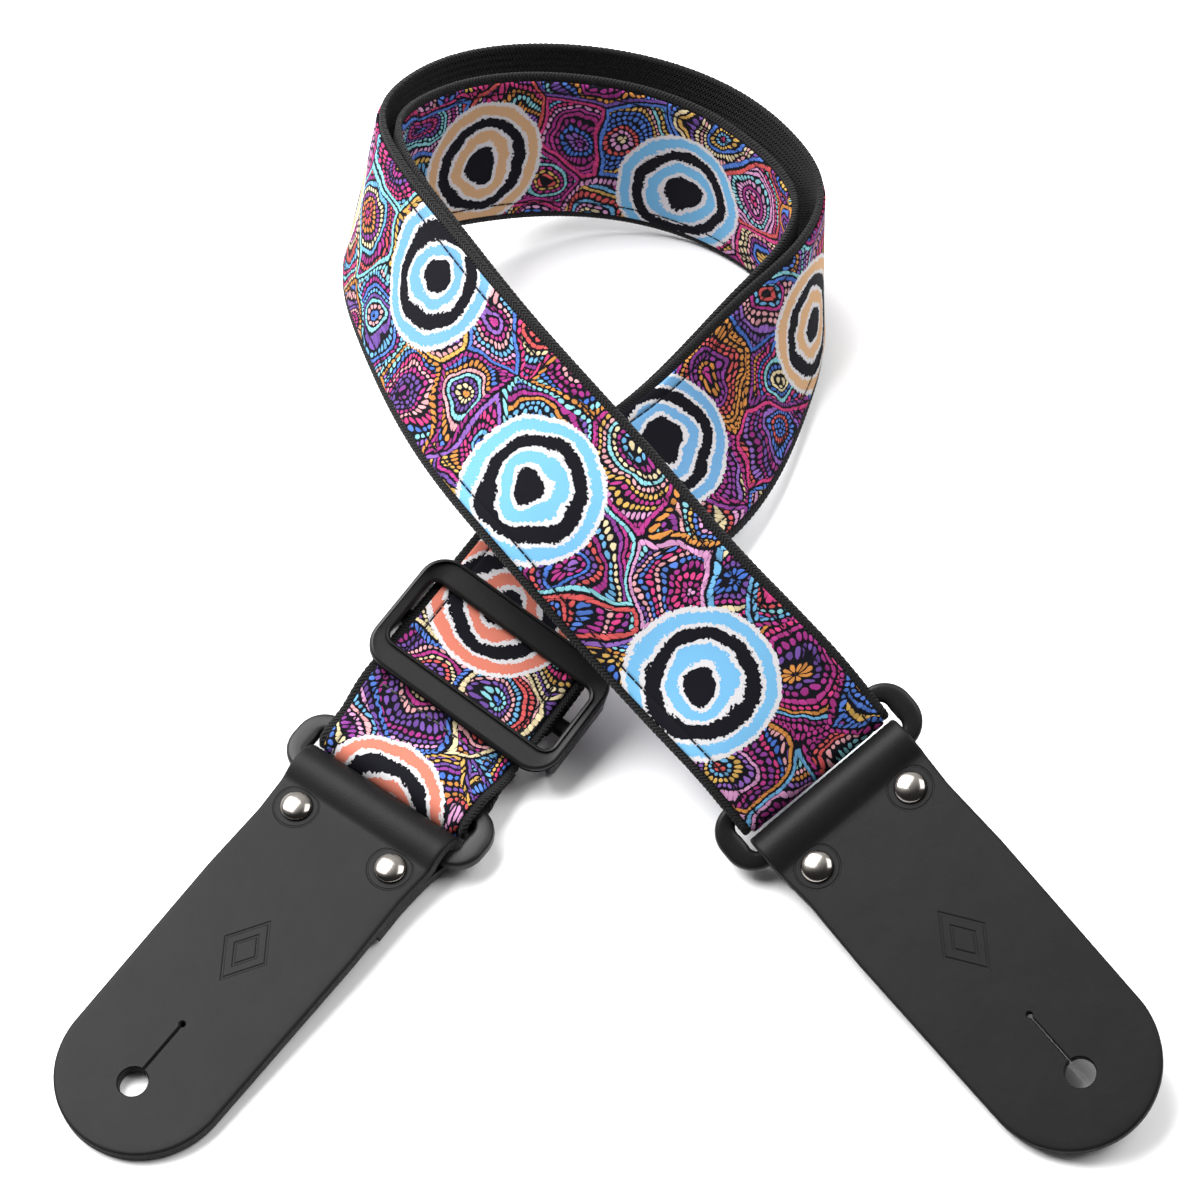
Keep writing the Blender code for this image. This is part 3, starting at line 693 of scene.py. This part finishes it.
FACING = facing_material()
WEBBING = webbing_material()
LEATHER = leather_material()
CUT_EDGE = cut_edge_material()
PLASTIC = moulded_material("moulded_black", 0.004, 0.36)
NICKEL = nickel_material()
THREAD = thread_material()


# ---------------------------------------------------------------- mesh helpers
def mesh_object(name, points, faces, materials, uvs=None, slots=None, smooth=True):
    """A mesh object; uvs holds one (u, v) a point, in millimetres."""
    mesh = bpy.data.meshes.new(name)
    mesh.from_pydata([tuple(p) for p in points], [], faces)
    for mat in materials:
        mesh.materials.append(mat)
    if slots is not None:
        mesh.polygons.foreach_set("material_index", slots)
    if uvs is not None:
        layer = mesh.uv_layers.new(name="flat")
        corners = np.empty(len(mesh.loops), np.int32)
        mesh.loops.foreach_get("vertex_index", corners)
        layer.data.foreach_set("uv", np.array(uvs, np.float32)[corners].ravel())
    mesh.polygons.foreach_set("use_smooth", [smooth] * len(mesh.polygons))
    mesh.update()
    obj = bpy.data.objects.new(name, mesh)
    bpy.context.scene.collection.objects.link(obj)
    return obj


def ribbon(name, frames, section, start, sign, mat, serrated=0.0):
    """A closed strip with the section (x, z), swept along frames.

    Its flat coordinates run from start, forwards or backwards, and across.
    """
    n = len(section)
    spots = np.array([f.point for f in frames])
    acrosses = np.array([f.across for f in frames])
    normals = np.array([f.normal for f in frames])
    lengths = np.concatenate([[0], np.cumsum(np.linalg.norm(np.diff(spots, axis=0), axis=1))])
    x = np.array([p[0] for p in section])[None, :, None]
    z = np.array([p[1] for p in section])[None, :, None]
    wave = np.sin(np.arange(len(frames)) * math.pi / 2)[:, None, None]
    edge = (np.abs(x) > STRAP_W / 2 - 1.2 * MM) * np.sign(x)
    x_now = x + serrated * wave * edge
    z_now = z * (1 + 160 * serrated * np.abs(edge) * wave)
    points = spots[:, None, :] + acrosses[:, None, :] * x_now + normals[:, None, :] * z_now
    points = points.reshape(-1, 3)
    uvs = np.empty((len(frames), n, 2))
    uvs[:, :, 0] = (start + sign * lengths / MM)[:, None]
    uvs[:, :, 1] = x[0, :, 0][None, :] / MM
    faces = []
    for i in range(len(frames) - 1):
        here, ahead = i * n, (i + 1) * n
        faces += [(here + k, here + (k + 1) % n, ahead + (k + 1) % n, ahead + k) for k in range(n)]
    last = (len(frames) - 1) * n
    faces += [tuple(range(n))[::-1], tuple(range(last, last + n))]
    f = frames[0]
    if f.across.cross(f.normal).dot(frames[1].point - f.point) > 0:
        faces = [corners[::-1] for corners in faces]
    obj = mesh_object(name, points, faces, [mat], uvs.reshape(-1, 2))
    obj.data.polygons[len(faces) - 1].use_smooth = False
    obj.data.polygons[len(faces) - 2].use_smooth = False
    return obj, float(lengths[-1])


def mirrored(half):
    """A whole section from its right half, given from the top middle to the bottom middle."""
    return half + [(-x, z) for x, z in half[::-1] if x > 0]


WEB_SECTION = mirrored(
    [
        (x * MM, z * MM)
        for x, z in (
            (0, 0.78),
            (21.5, 0.78),
            (22.9, 0.80),
            (23.7, 0.94),
            (24.5, 0.90),
            (24.95, 0.50),
            (25.05, 0.0),
            (24.95, -0.50),
            (24.5, -0.90),
            (23.7, -0.94),
            (22.9, -0.80),
            (0, -0.78),
        )
    ]
)
FACE_SECTION = mirrored(
    [
        (x * MM, z * MM)
        for x, z in (
            (0, 1.62),
            (10, 1.60),
            (17.6, 1.58),
            (18.6, 1.50),
            (19.0, 1.40),
            (19.4, 1.50),
            (20.2, 1.62),
            (21.8, 1.60),
            (22.4, 1.45),
            (22.6, 1.15),
            (22.4, 0.86),
            (0, 0.84),
        )
    ]
)


def spaced(start, end, step):
    count = max(2, round((end - start) / step))
    return [start + (end - start) * i / count for i in range(count + 1)]


def sheet_pair(name, frames, start, sign, body, web_nodes, face_nodes, blend=None):
    """The webbing and its facing along one stretch, each swept as a ribbon."""
    for kind, section, mat, width, nodes, slot_name, ripple in (
        ("webbing", WEB_SECTION, WEBBING, STRAP_W, web_nodes, "webbing_black", 0.00008),
        ("facing", FACE_SECTION, FACING, FACE_W, face_nodes, "facing_patterned", 0.0),
    ):
        obj, length = ribbon(f"{kind}_{name}", frames, section, start, sign, mat, ripple)
        if blend is None:
            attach(obj, body)
        else:
            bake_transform(obj)
        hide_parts(*nodes)
    return length


OUTER_NAMES = (
    "front_leg_low",
    "front_leg_high",
    "left_turn",
    "back_left",
    "back_right",
    "right_turn",
    "lower_leg_high",
    "lower_leg_low",
)


def build_strap():
    """All the webbing and facing: the root's, the stretch behind the slider and the sewn end."""
    # the outer layer, with the fold at the right ring before it
    right_fold = fold(lay.outer_at(0), lay.bars["right"][1], -1, FOLD_SLACK)[::-1]
    around = [Frame(f.point, f.across, -f.along, f.normal) for f in right_fold[:-1]]
    outer = [lay.outer_at(s) for s in spaced(0, lay.total, STEP)]
    left_fold = fold(lay.outer_at(lay.total), lay.bars["left"][1], 1, FOLD_SLACK)[1:]
    flap = left_flap()
    frames = around + outer + left_fold + flap
    fold_length = (math.pi * lay.fold_mid + 2 * FOLD_SLACK) / MM
    sheet_pair(
        "outer",
        frames,
        -fold_length,
        1,
        "strap",
        ["web_outer_" + n for n in OUTER_NAMES]
        + ["web_outer_run", "web_fold_right", "web_fold_left", "web_flap_left"],
        ["facing_outer", "facing_fold_right", "facing_fold_left", "facing_flap_left"],
    )

    # the return, up to where it starts to follow the slider
    free = lay.total - SLIDER_AT - FREE_REACH
    sewn = lay.total - SLIDER_AT - SEWN_REACH
    begin = RETURN_FROM
    frames = [lay.return_at(s) for s in spaced(JOINT_GAP, free, STEP)]
    length = sheet_pair(
        "return",
        frames,
        begin,
        -1,
        "strap",
        ["web_return_" + n for n in OUTER_NAMES],
        ["facing_return"],
    )
    begin -= length / MM
    frames = [lay.return_at(s) for s in spaced(free, sewn, STEP)]
    ends = (tuple(frames[0].point), tuple(frames[-1].point))
    length = sheet_pair(
        "stretch",
        frames,
        begin,
        -1,
        "strap",
        ["web_return_stretch"],
        ["facing_return_stretch"],
        ("slider", *ends),
    )
    begin -= length / MM
    names = ("under", "wrap", "flap")
    sheet_pair(
        "sewn",
        sewn_frames(),
        begin,
        -1,
        "slider",
        ["web_sewn_" + n for n in names],
        ["facing_sewn_" + n for n in names],
    )


def left_flap():
    """The sewn end under the run, from the fold at the left ring."""
    points, acrosses = [], []
    for i in range(1, 41):
        x = LEFT_FLAP * i / 40
        share = float(np.clip((x - 1.6 * MM) / (0.6 * LEFT_FLAP), 0, 1))
        drop = FLAP_DROP + (2 * lay.fold_mid - FLAP_DROP) * (0.5 + 0.5 * math.cos(math.pi * share))
        above = lay.outer_at(lay.total - x)
        points.append(above.point - above.normal * drop)
        acrosses.append(above.across)
    return frames_through(points, acrosses)


def sewn_frames():
    """From the stretch, under the slider's middle bar, round it and back on top."""
    f = lay.slider()
    meeting = lay.return_at(lay.total - SLIDER_AT - SEWN_REACH).point - f.point
    spots = [
        (-meeting.dot(f.along), meeting.dot(f.normal)),
        (26 * MM, -3.7 * MM),
        (20 * MM, -4.9 * MM),
        (12 * MM, -6.4 * MM),
        (5 * MM, -7.7 * MM),
        (-0.9 * MM, -BAR_DROP - WRAP_R),
    ]
    knots = [-x for x, _ in spots]
    height = natural_spline(knots, [[z] for _, z in spots])
    along = spaced(knots[0], knots[-1], STEP)
    under = [f.point + f.along * a + f.normal * float(height(a)[0]) for a in along]
    frames = frames_through(under, [f.across] * len(under), -1.0)
    centre = f.point + f.along * 1.0 * MM - f.normal * BAR_DROP
    top = Frame(centre + f.normal * WRAP_R, f.across, f.along, f.normal)
    frames += fold(top, centre, 1, 0.0, 18)[::-1]
    back = spaced(0.3 * MM, SEWN_FLAP, STEP)
    frames += [Frame(top.point - f.along * x, f.across, -f.along, f.normal) for x in back]
    return frames


# ---------------------------------------------------------------- hard pieces
def arc(cx, cy, radius, start, end, steps):
    turns = [math.radians(start + (end - start) * i / steps) for i in range(steps + 1)]
    return [(cx + radius * math.cos(t), cy + radius * math.sin(t)) for t in turns]


def rounded_rectangle(length, width, radius, steps=10):
    x, y = length / 2 - radius, width / 2 - radius
    corners = ((x, y, 0), (-x, y, 90), (-x, -y, 180), (x, -y, 270))
    return [p for cx, cy, a in corners for p in arc(cx, cy, radius, a, a + 90, steps)]


def loops_to_shell(loops, close):
    """Faces between loops of the same number of points; close joins the last to the first."""
    n, faces = len(loops[0]), []
    points = [p for loop in loops for p in loop]
    count = len(loops) if close else len(loops) - 1
    for i in range(count):
        here, ahead = i * n, (i + 1) % len(loops) * n
        faces += [(here + k, here + (k + 1) % n, ahead + (k + 1) % n, ahead + k) for k in range(n)]
    if not close:
        last = (len(loops) - 1) * n
        faces += [tuple(range(n))[::-1], tuple(range(last, last + n))]
    return points, faces


def joined(name, shells, mat):
    """One object from several closed shells, all facing out."""
    points, faces = [], []
    for shell_points, shell_faces in shells:
        base = len(points)
        points += shell_points
        faces += [tuple(base + k for k in face) for face in shell_faces]
    obj = mesh_object(name, points, faces, [mat])
    tool = bmesh.new()
    tool.from_mesh(obj.data)
    bmesh.ops.recalc_face_normals(tool, faces=tool.faces)
    tool.to_mesh(obj.data)
    tool.free()
    return obj


def auto_smooth(obj, degrees=38):
    """Sharp edges where faces meet at more than this angle."""
    tool = bmesh.new()
    tool.from_mesh(obj.data)
    for edge in tool.edges:
        if len(edge.link_faces) == 2:
            edge.smooth = edge.calc_face_angle(0) < math.radians(degrees)
    tool.to_mesh(obj.data)
    tool.free()


def build_slider():
    f = lay.slider()
    f = f.turned(0, f.at(-SLIDER_ASIDE, 0, 0))
    shells = []
    round_over = 1.0 * MM
    steps = 4
    low, high = SLIDER_LIFT, SLIDER_LIFT + SLIDER_T

    def outer(inset, z):
        size = (SLIDER_LONG - 2 * inset, SLIDER_SHORT - 2 * inset, SLIDER_CORNER - inset)
        return [f.at(x, y, z) for x, y in rounded_rectangle(*size)]

    def inner(inset, z):
        size = (WINDOW_LONG + 2 * inset, WINDOW_SHORT + 2 * inset, WINDOW_CORNER + inset)
        drop = 0.9 * MM if z > low + SLIDER_T / 2 else 0.0  # the top slopes in a little
        return [f.at(x, y, z - drop) for x, y in rounded_rectangle(*size)]

    turns = [math.radians(90 * i / steps) for i in range(steps + 1)]
    soft = [(round_over * (1 - math.sin(t)), round_over * (1 - math.cos(t))) for t in turns]
    loops = [outer(a, low + b) for b, a in soft] + [outer(a, high - b) for b, a in soft[::-1]]
    loops += [inner(a, high - b) for b, a in soft] + [inner(a, low + b) for b, a in soft[::-1]]
    shells.append(loops_to_shell(loops, True))

    post = (SLIDER_LONG - WINDOW_LONG) / 2
    for side in (-1, 1):
        middle = side * (SLIDER_LONG - post) / 2
        loops = []
        for inset, z in (
            (0.9 * MM, -BAR_DROP - BAR_HALF_T),
            (0.25 * MM, -BAR_DROP - BAR_HALF_T + 0.25 * MM),
            (0.0, -BAR_DROP - BAR_HALF_T + 0.9 * MM),
            (0.0, SLIDER_LIFT + 0.4 * MM),
            (0.6 * MM, SLIDER_LIFT + 0.8 * MM),
        ):
            ring = rounded_rectangle(post - 2 * inset, POST_WIDTH - 2 * inset, 1.5 * MM - inset, 6)
            loops.append([f.at(middle + x, y, z) for x, y in ring])
        shells.append(loops_to_shell(loops, False))
    section = rounded_rectangle(2 * BAR_HALF_W, 2 * BAR_HALF_T, BAR_HALF_T - 0.01 * MM, 6)
    reach = (SLIDER_LONG - post) / 2
    loops = [[f.at(x, a, -BAR_DROP + b) for a, b in section] for x in (-reach, -reach / 2, reach / 2, reach)]
    shells.append(loops_to_shell(loops, False))
    obj = joined("slider_moulding", shells, PLASTIC)
    auto_smooth(obj)
    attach(obj, "slider")
    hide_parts("slider")


def build_ring(side):
    f = lay.rings[side]
    path = rounded_rectangle(RING_LENGTH - RING_BAR, BAR_PITCH, RING_CORNER, 16)
    sides, loops = 28, []
    for i, (x, y) in enumerate(path):
        ahead, behind = path[(i + 1) % len(path)], path[i - 1]
        run = Vector((ahead[0] - behind[0], ahead[1] - behind[1])).normalized()
        loop = []
        for k in range(sides):
            a = 2 * math.pi * k / sides
            c, s = math.cos(a), math.sin(a)
            out = math.copysign(abs(c) ** 0.55, c) * RING_BAR / 2
            out *= 1 + RING_END_MORE * run.y**2 if out < 0 else 1
            up = math.copysign(abs(s) ** 0.62, s) * RING_T / 2
            loop.append(f.at(x + run.y * out, y - run.x * out, up))
        loops.append(loop)
    obj = joined(f"ring_{side}_moulding", [loops_to_shell(loops, True)], PLASTIC)
    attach(obj, f"ring_{side}")
    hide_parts(f"ring_{side}")


def build_rivets(side):
    f = lay.left if side == "left" else lay.right
    for letter, way in (("a", -1), ("b", 1)):
        low = LEATHER_T + 0.03 * MM
        rim = 0.35 * MM
        profile = [
            (RIVET_R - 0.3 * MM, low),
            (RIVET_R - 0.05 * MM, low + 0.08 * MM),
            (RIVET_R, low + 0.2 * MM),
        ]
        for i in range(15):
            a = math.radians(90 * i / 15)
            height = low + rim + (RIVET_DOME - rim) * math.sin(a)
            profile.append((RIVET_R * math.cos(a), height))
        profile.append((0.02 * MM, low + RIVET_DOME))
        loops = []
        for r, z in profile:
            ring = arc(way * RIVET_SIDE, RIVET_AT, r, 0, 360 * 63 / 64, 63)
            loops.append([f.at(x, y, z) for x, y in ring])
        obj = joined(f"rivet_dome_{side}_{letter}", [loops_to_shell(loops, False)], NICKEL)
        auto_smooth(obj)
        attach(obj, f"end_{side}")
        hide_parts(f"rivet_cap_{side}_{letter}")


# ---------------------------------------------------------------- leather
def leather_path():
    """The inner side of the folded leather as rows of (length, along, height, normal)."""
    bar, r = LEATHER_BAR_AT, FOLD_R
    rows = [(y, 0.0) for y in np.arange(-25 * MM, bar - 8.0 * MM, 0.5 * MM)]
    start, top = Vector((bar - 8.0 * MM, 0.0)), math.radians(98)
    end = Vector((bar + r * math.cos(top), r * math.sin(top)))
    into = Vector((math.sin(top), -math.cos(top)))
    rise = []
    for i in range(13):
        t = i / 12
        a, b = start + Vector((3.6 * MM, 0)), end - into * 3.4 * MM
        p = start * (1 - t) ** 3 + a * 3 * t * (1 - t) ** 2 + b * 3 * t * t * (1 - t) + end * t**3
        rise.append((p.x, p.y))
    bend = arc(bar, 0, r, 98, -98, 40)[1:-1]
    under = [(y, -z - 0.10 * MM * (1 - z / r)) for y, z in rise[::-1]]
    flap = [(y, -0.10 * MM) for y in np.arange(bar - 8.5 * MM, FLAP_END - 0.1 * MM, -0.5 * MM)]
    rows += rise + bend + under + flap
    spots = np.array(rows)
    steps = np.linalg.norm(np.diff(spots, axis=0), axis=1)
    lengths = np.concatenate([[0], np.cumsum(steps)]) - 25 * MM
    ways = np.gradient(spots, lengths, axis=0)
    ways /= np.linalg.norm(ways, axis=1)[:, None]
    return lengths, spots, np.stack([-ways[:, 1], ways[:, 0]], axis=1)


def half_width(y):
    """Half the width of the leather at this distance from the hole, beyond the round tip."""
    marks = [TIP_CENTRE, 58 * MM, NECK_AT, 91 * MM, 110 * MM]
    halves = [TIP_R, SIDE_HALF, NECK_HALF, FOLD_HALF, FOLD_HALF]
    return float(np.interp(y, marks, halves))


def inset_loop(loop, amount):
    """The closed loop moved to its left by amount."""
    n, moved = len(loop), []
    for i, p in enumerate(loop):
        way = (Vector(loop[(i + 1) % n]) - Vector(loop[i - 1])).normalized()
        moved.append((p[0] - way.y * amount, p[1] + way.x * amount))
    return moved


def button_loop():
    """The button hole with its slit, turning left."""
    half = SLIT_W / 2
    gap = math.degrees(math.asin(half / BUTTON_R))
    end_gap = math.degrees(math.asin(half / SLIT_END_R))
    loop = arc(0, 0, BUTTON_R, 90 + gap, 450 - gap, 56)
    side = [BUTTON_R + (SLIT_END - SLIT_END_R - BUTTON_R) * i / 12 for i in range(1, 12)]
    loop += [(half, y) for y in side]
    loop += arc(0, SLIT_END, SLIT_END_R, -90 + end_gap, 270 - end_gap, 16)
    loop += [(-half, y) for y in side[::-1]]
    return loop


def build_leather(side):
    """One folded strip with rounded-over edges, cut to its plan, as a single mesh."""
    f = lay.left if side == "left" else lay.right
    lengths, spots, normals = leather_path()
    total = float(lengths[-1])

    def plan_half(u):
        return half_width(float(np.interp(u, lengths, spots[:, 0])))

    rows = spaced(6 * MM, total, 1.2 * MM)
    right = [(plan_half(u), u) for u in rows]
    left = [(-x, u) for x, u in right[::-1]]
    # the tip's arc runs on a little past its half circle, to meet the sides
    tip = arc(0, TIP_R - TIP, TIP_R, 180 - TIP_OVERRUN, 360 + TIP_OVERRUN, 90)
    flap_half = half_width(float(spots[-1][0]))
    end = [(flap_half * (1 - 2 * i / 24), total) for i in range(1, 24)]
    outline = tip[:-1] + right + end + left
    hole = button_loop()

    insets = (0.0, 0.18 * MM, 0.5 * MM, 1.0 * MM)
    drops = (0.55 * MM, 0.22 * MM, 0.05 * MM, 0.0)
    loops = [inset_loop(outline, a) for a in insets]
    hole_insets, hole_drops = (0.0, 0.25 * MM), (0.25 * MM, 0.0)
    hole_loops = [inset_loop(hole, -a) for a in hole_insets]

    coords, edges, height = [], [], []
    for loop, drop in zip(loops + hole_loops, drops + hole_drops):
        base = len(coords)
        coords += [Vector(p) for p in loop]
        height += [-drop] * len(loop)
        edges += [(base + i, base + (i + 1) % len(loop)) for i in range(len(loop))]
    starts = np.cumsum([0] + [len(loop) for loop in loops + hole_loops])

    border = np.array(loops[-1])
    hole_border = np.array(hole_loops[-1])
    fold_low, fold_high = LEATHER_BAR_AT - 9 * MM, LEATHER_BAR_AT + 26 * MM
    u = -TIP
    k = 0
    while u < total:
        shift = 0.5 * (k % 2)
        wide = plan_half(max(u, 0.0))
        if u < TIP_CENTRE:
            wide = math.sqrt(max(TIP_R**2 - (u - TIP_CENTRE) ** 2, 0.0))
        spacing = 2.0 * MM
        places = int(2 * wide / spacing)
        for i in range(places + 1):
            x = -wide + (i + shift) * spacing
            p = np.array((x, u))
            if abs(x) > wide - 1.6 * MM:
                continue
            if np.min(np.linalg.norm(border - p, axis=1)) < 0.9 * MM:
                continue
            near_hole = np.min(np.linalg.norm(hole_border - p, axis=1)) < 0.8 * MM
            if near_hole or math.hypot(x, u) < BUTTON_R or u > total - 1.4 * MM:
                continue
            coords.append(Vector((x, u)))
            height.append(0.0)
        u += 0.7 * MM if fold_low < u < fold_high else 1.7 * MM
        k += 1
    made = geometry.delaunay_2d_cdt(coords, edges, [], 1, 1e-9)
    flat, faces_2d, origins = made[0], made[2], made[3]
    source = [o[0] if o else 0 for o in origins]

    def in_hole(p):
        if math.hypot(p[0], p[1]) < BUTTON_R - 0.02 * MM:
            return True
        if abs(p[0]) < SLIT_W / 2 and 0 < p[1] < SLIT_END:
            return True
        return math.hypot(p[0], p[1] - SLIT_END) < SLIT_END_R - 0.02 * MM

    kept = []
    for tri in faces_2d:
        mid = sum((flat[i] for i in tri), Vector((0, 0))) / len(tri)
        if not in_hole(mid):
            kept.append(tuple(tri))

    def place(x, u, out):
        y = float(np.interp(u, lengths, spots[:, 0]))
        z = float(np.interp(u, lengths, spots[:, 1]))
        n = (np.interp(u, lengths, normals[:, 0]), np.interp(u, lengths, normals[:, 1]))
        size = math.hypot(*n)
        return f.at(x, y + n[0] / size * out, z + n[1] / size * out)

    count = len(flat)
    points = [place(p[0], p[1], LEATHER_T + height[source[i]]) for i, p in enumerate(flat)]
    points += [place(p[0], p[1], 0.0) for p in flat]
    uvs = [(p[0] / MM, p[1] / MM) for p in flat] * 2
    faces = kept + [tuple(count + i for i in tri[::-1]) for tri in kept]
    slots = [0] * len(faces)
    back = {}
    for i, o in enumerate(origins):
        for j in o:
            back[j] = i
    for number, turn in ((0, 1), (len(loops), -1)):
        first, n = int(starts[number]), len((loops + hole_loops)[number])
        for i in range(n):
            a, b = back[first + i], back[first + (i + 1) % n]
            quad = (a, a + count, b + count, b) if turn == 1 else (a, b, b + count, a + count)
            faces.append(quad)
            slots.append(1)
    obj = mesh_object(f"leather_{side}_folded", points, faces, [LEATHER, CUT_EDGE], uvs, slots)
    auto_smooth(obj, 42)
    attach(obj, f"end_{side}")
    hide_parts(f"leather_{side}")


# ---------------------------------------------------------------- stage
def build_stage():
    scene = bpy.context.scene
    camera = bpy.data.cameras.new("camera")
    camera.lens = 78.75
    camera.sensor_width = 36.0
    camera.clip_start = 0.01
    view = bpy.data.objects.new("camera", camera)
    scene.collection.objects.link(view)
    view.location = Vector((0.0, -0.4302, 0.6144)) - ORIGIN
    target = -ORIGIN
    view.rotation_euler = (target - view.location).to_track_quat("-Z", "Y").to_euler()
    scene.camera = view

    g = Graph("paper_white")
    mat = g.finish((0.93, 0.93, 0.935), 0.9, 0.0, 0.0, 0.1)
    reach = 3.0
    floor = mesh_object(
        "floor",
        [(-reach, -reach, 0), (reach, -reach, 0), (reach, reach, 0), (-reach, reach, 0)],
        [(0, 1, 2, 3)],
        [mat],
    )
    floor.location.z = -0.0002

    world = bpy.data.worlds.new("room")
    scene.world = world
    world.use_nodes = True
    tree = world.node_tree
    sky = tree.nodes["Background"]
    place = tree.nodes.new("ShaderNodeTexCoord")
    toward = tree.nodes.new("ShaderNodeVectorMath")
    toward.operation = "DOT_PRODUCT"
    tree.links.new(place.outputs["Generated"], toward.inputs[0])
    toward.inputs[1].default_value = Vector((-0.30, 0.74, 0.60)).normalized()
    ramp = tree.nodes.new("ShaderNodeMapRange")
    ramp.interpolation_type = "SMOOTHSTEP"
    tree.links.new(toward.outputs["Value"], ramp.inputs[0])
    for socket, value in zip(ramp.inputs[1:], (0.30, 1.0, 0.05, 1.15)):
        socket.default_value = value
    tree.links.new(ramp.outputs[0], sky.inputs[1])
    sky.inputs[0].default_value = (1.0, 1.0, 1.0, 1.0)

    for name, place, size, power in (
        ("key", (-0.70, 0.45, 1.15), (1.1, 1.1), 54.0),
        ("fill", (0.80, 0.10, 1.10), (0.8, 0.8), 12.0),
    ):
        light = bpy.data.lights.new(name, "AREA")
        light.shape = "RECTANGLE"
        light.size, light.size_y = size
        light.energy = power
        lamp = bpy.data.objects.new(name, light)
        lamp.location = place
        aim = Vector((0, 0, 0)) - Vector(place)
        lamp.rotation_euler = aim.to_track_quat("-Z", "Y").to_euler()
        scene.collection.objects.link(lamp)
    scene.view_settings.view_transform = "Standard"


def build_stitches():
    """The row of stitches that closes the strap's loop at the left ring."""
    f = lay.outer_at(lay.total - LEFT_FLAP + 2.5 * MM)
    top = WEB_T / 2 + 0.93 * MM
    shells = []
    for i in range(-6, 7):
        loops = []
        for x, size in ((-1.1, 0.10), (-0.9, 0.24), (0.0, 0.30), (0.9, 0.24), (1.1, 0.10)):
            turns = [2 * math.pi * k / 8 for k in range(8)]
            spots = [(size * math.cos(a), size * 0.6 * math.sin(a) - 0.012 * x * x) for a in turns]
            loops.append([f.at((HEM_STITCH * i + x) * MM, y * MM, top + z * MM) for y, z in spots])
        shells.append(loops_to_shell(loops, False))
    obj = joined("stitches_left", shells, THREAD)
    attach(obj, "strap")
    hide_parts("stitch_left")


def finish_cad_nodes():
    """Nickel on the rivet posts, the only nodes that keep their CAD shape."""
    for name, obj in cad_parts.items():
        if name.startswith("rivet_post"):
            for slot in obj.material_slots:
                slot.material = NICKEL


build_stage()
build_strap()
build_slider()
for side in ("left", "right"):
    build_ring(side)
    build_leather(side)
    build_rivets(side)
build_stitches()
finish_cad_nodes()
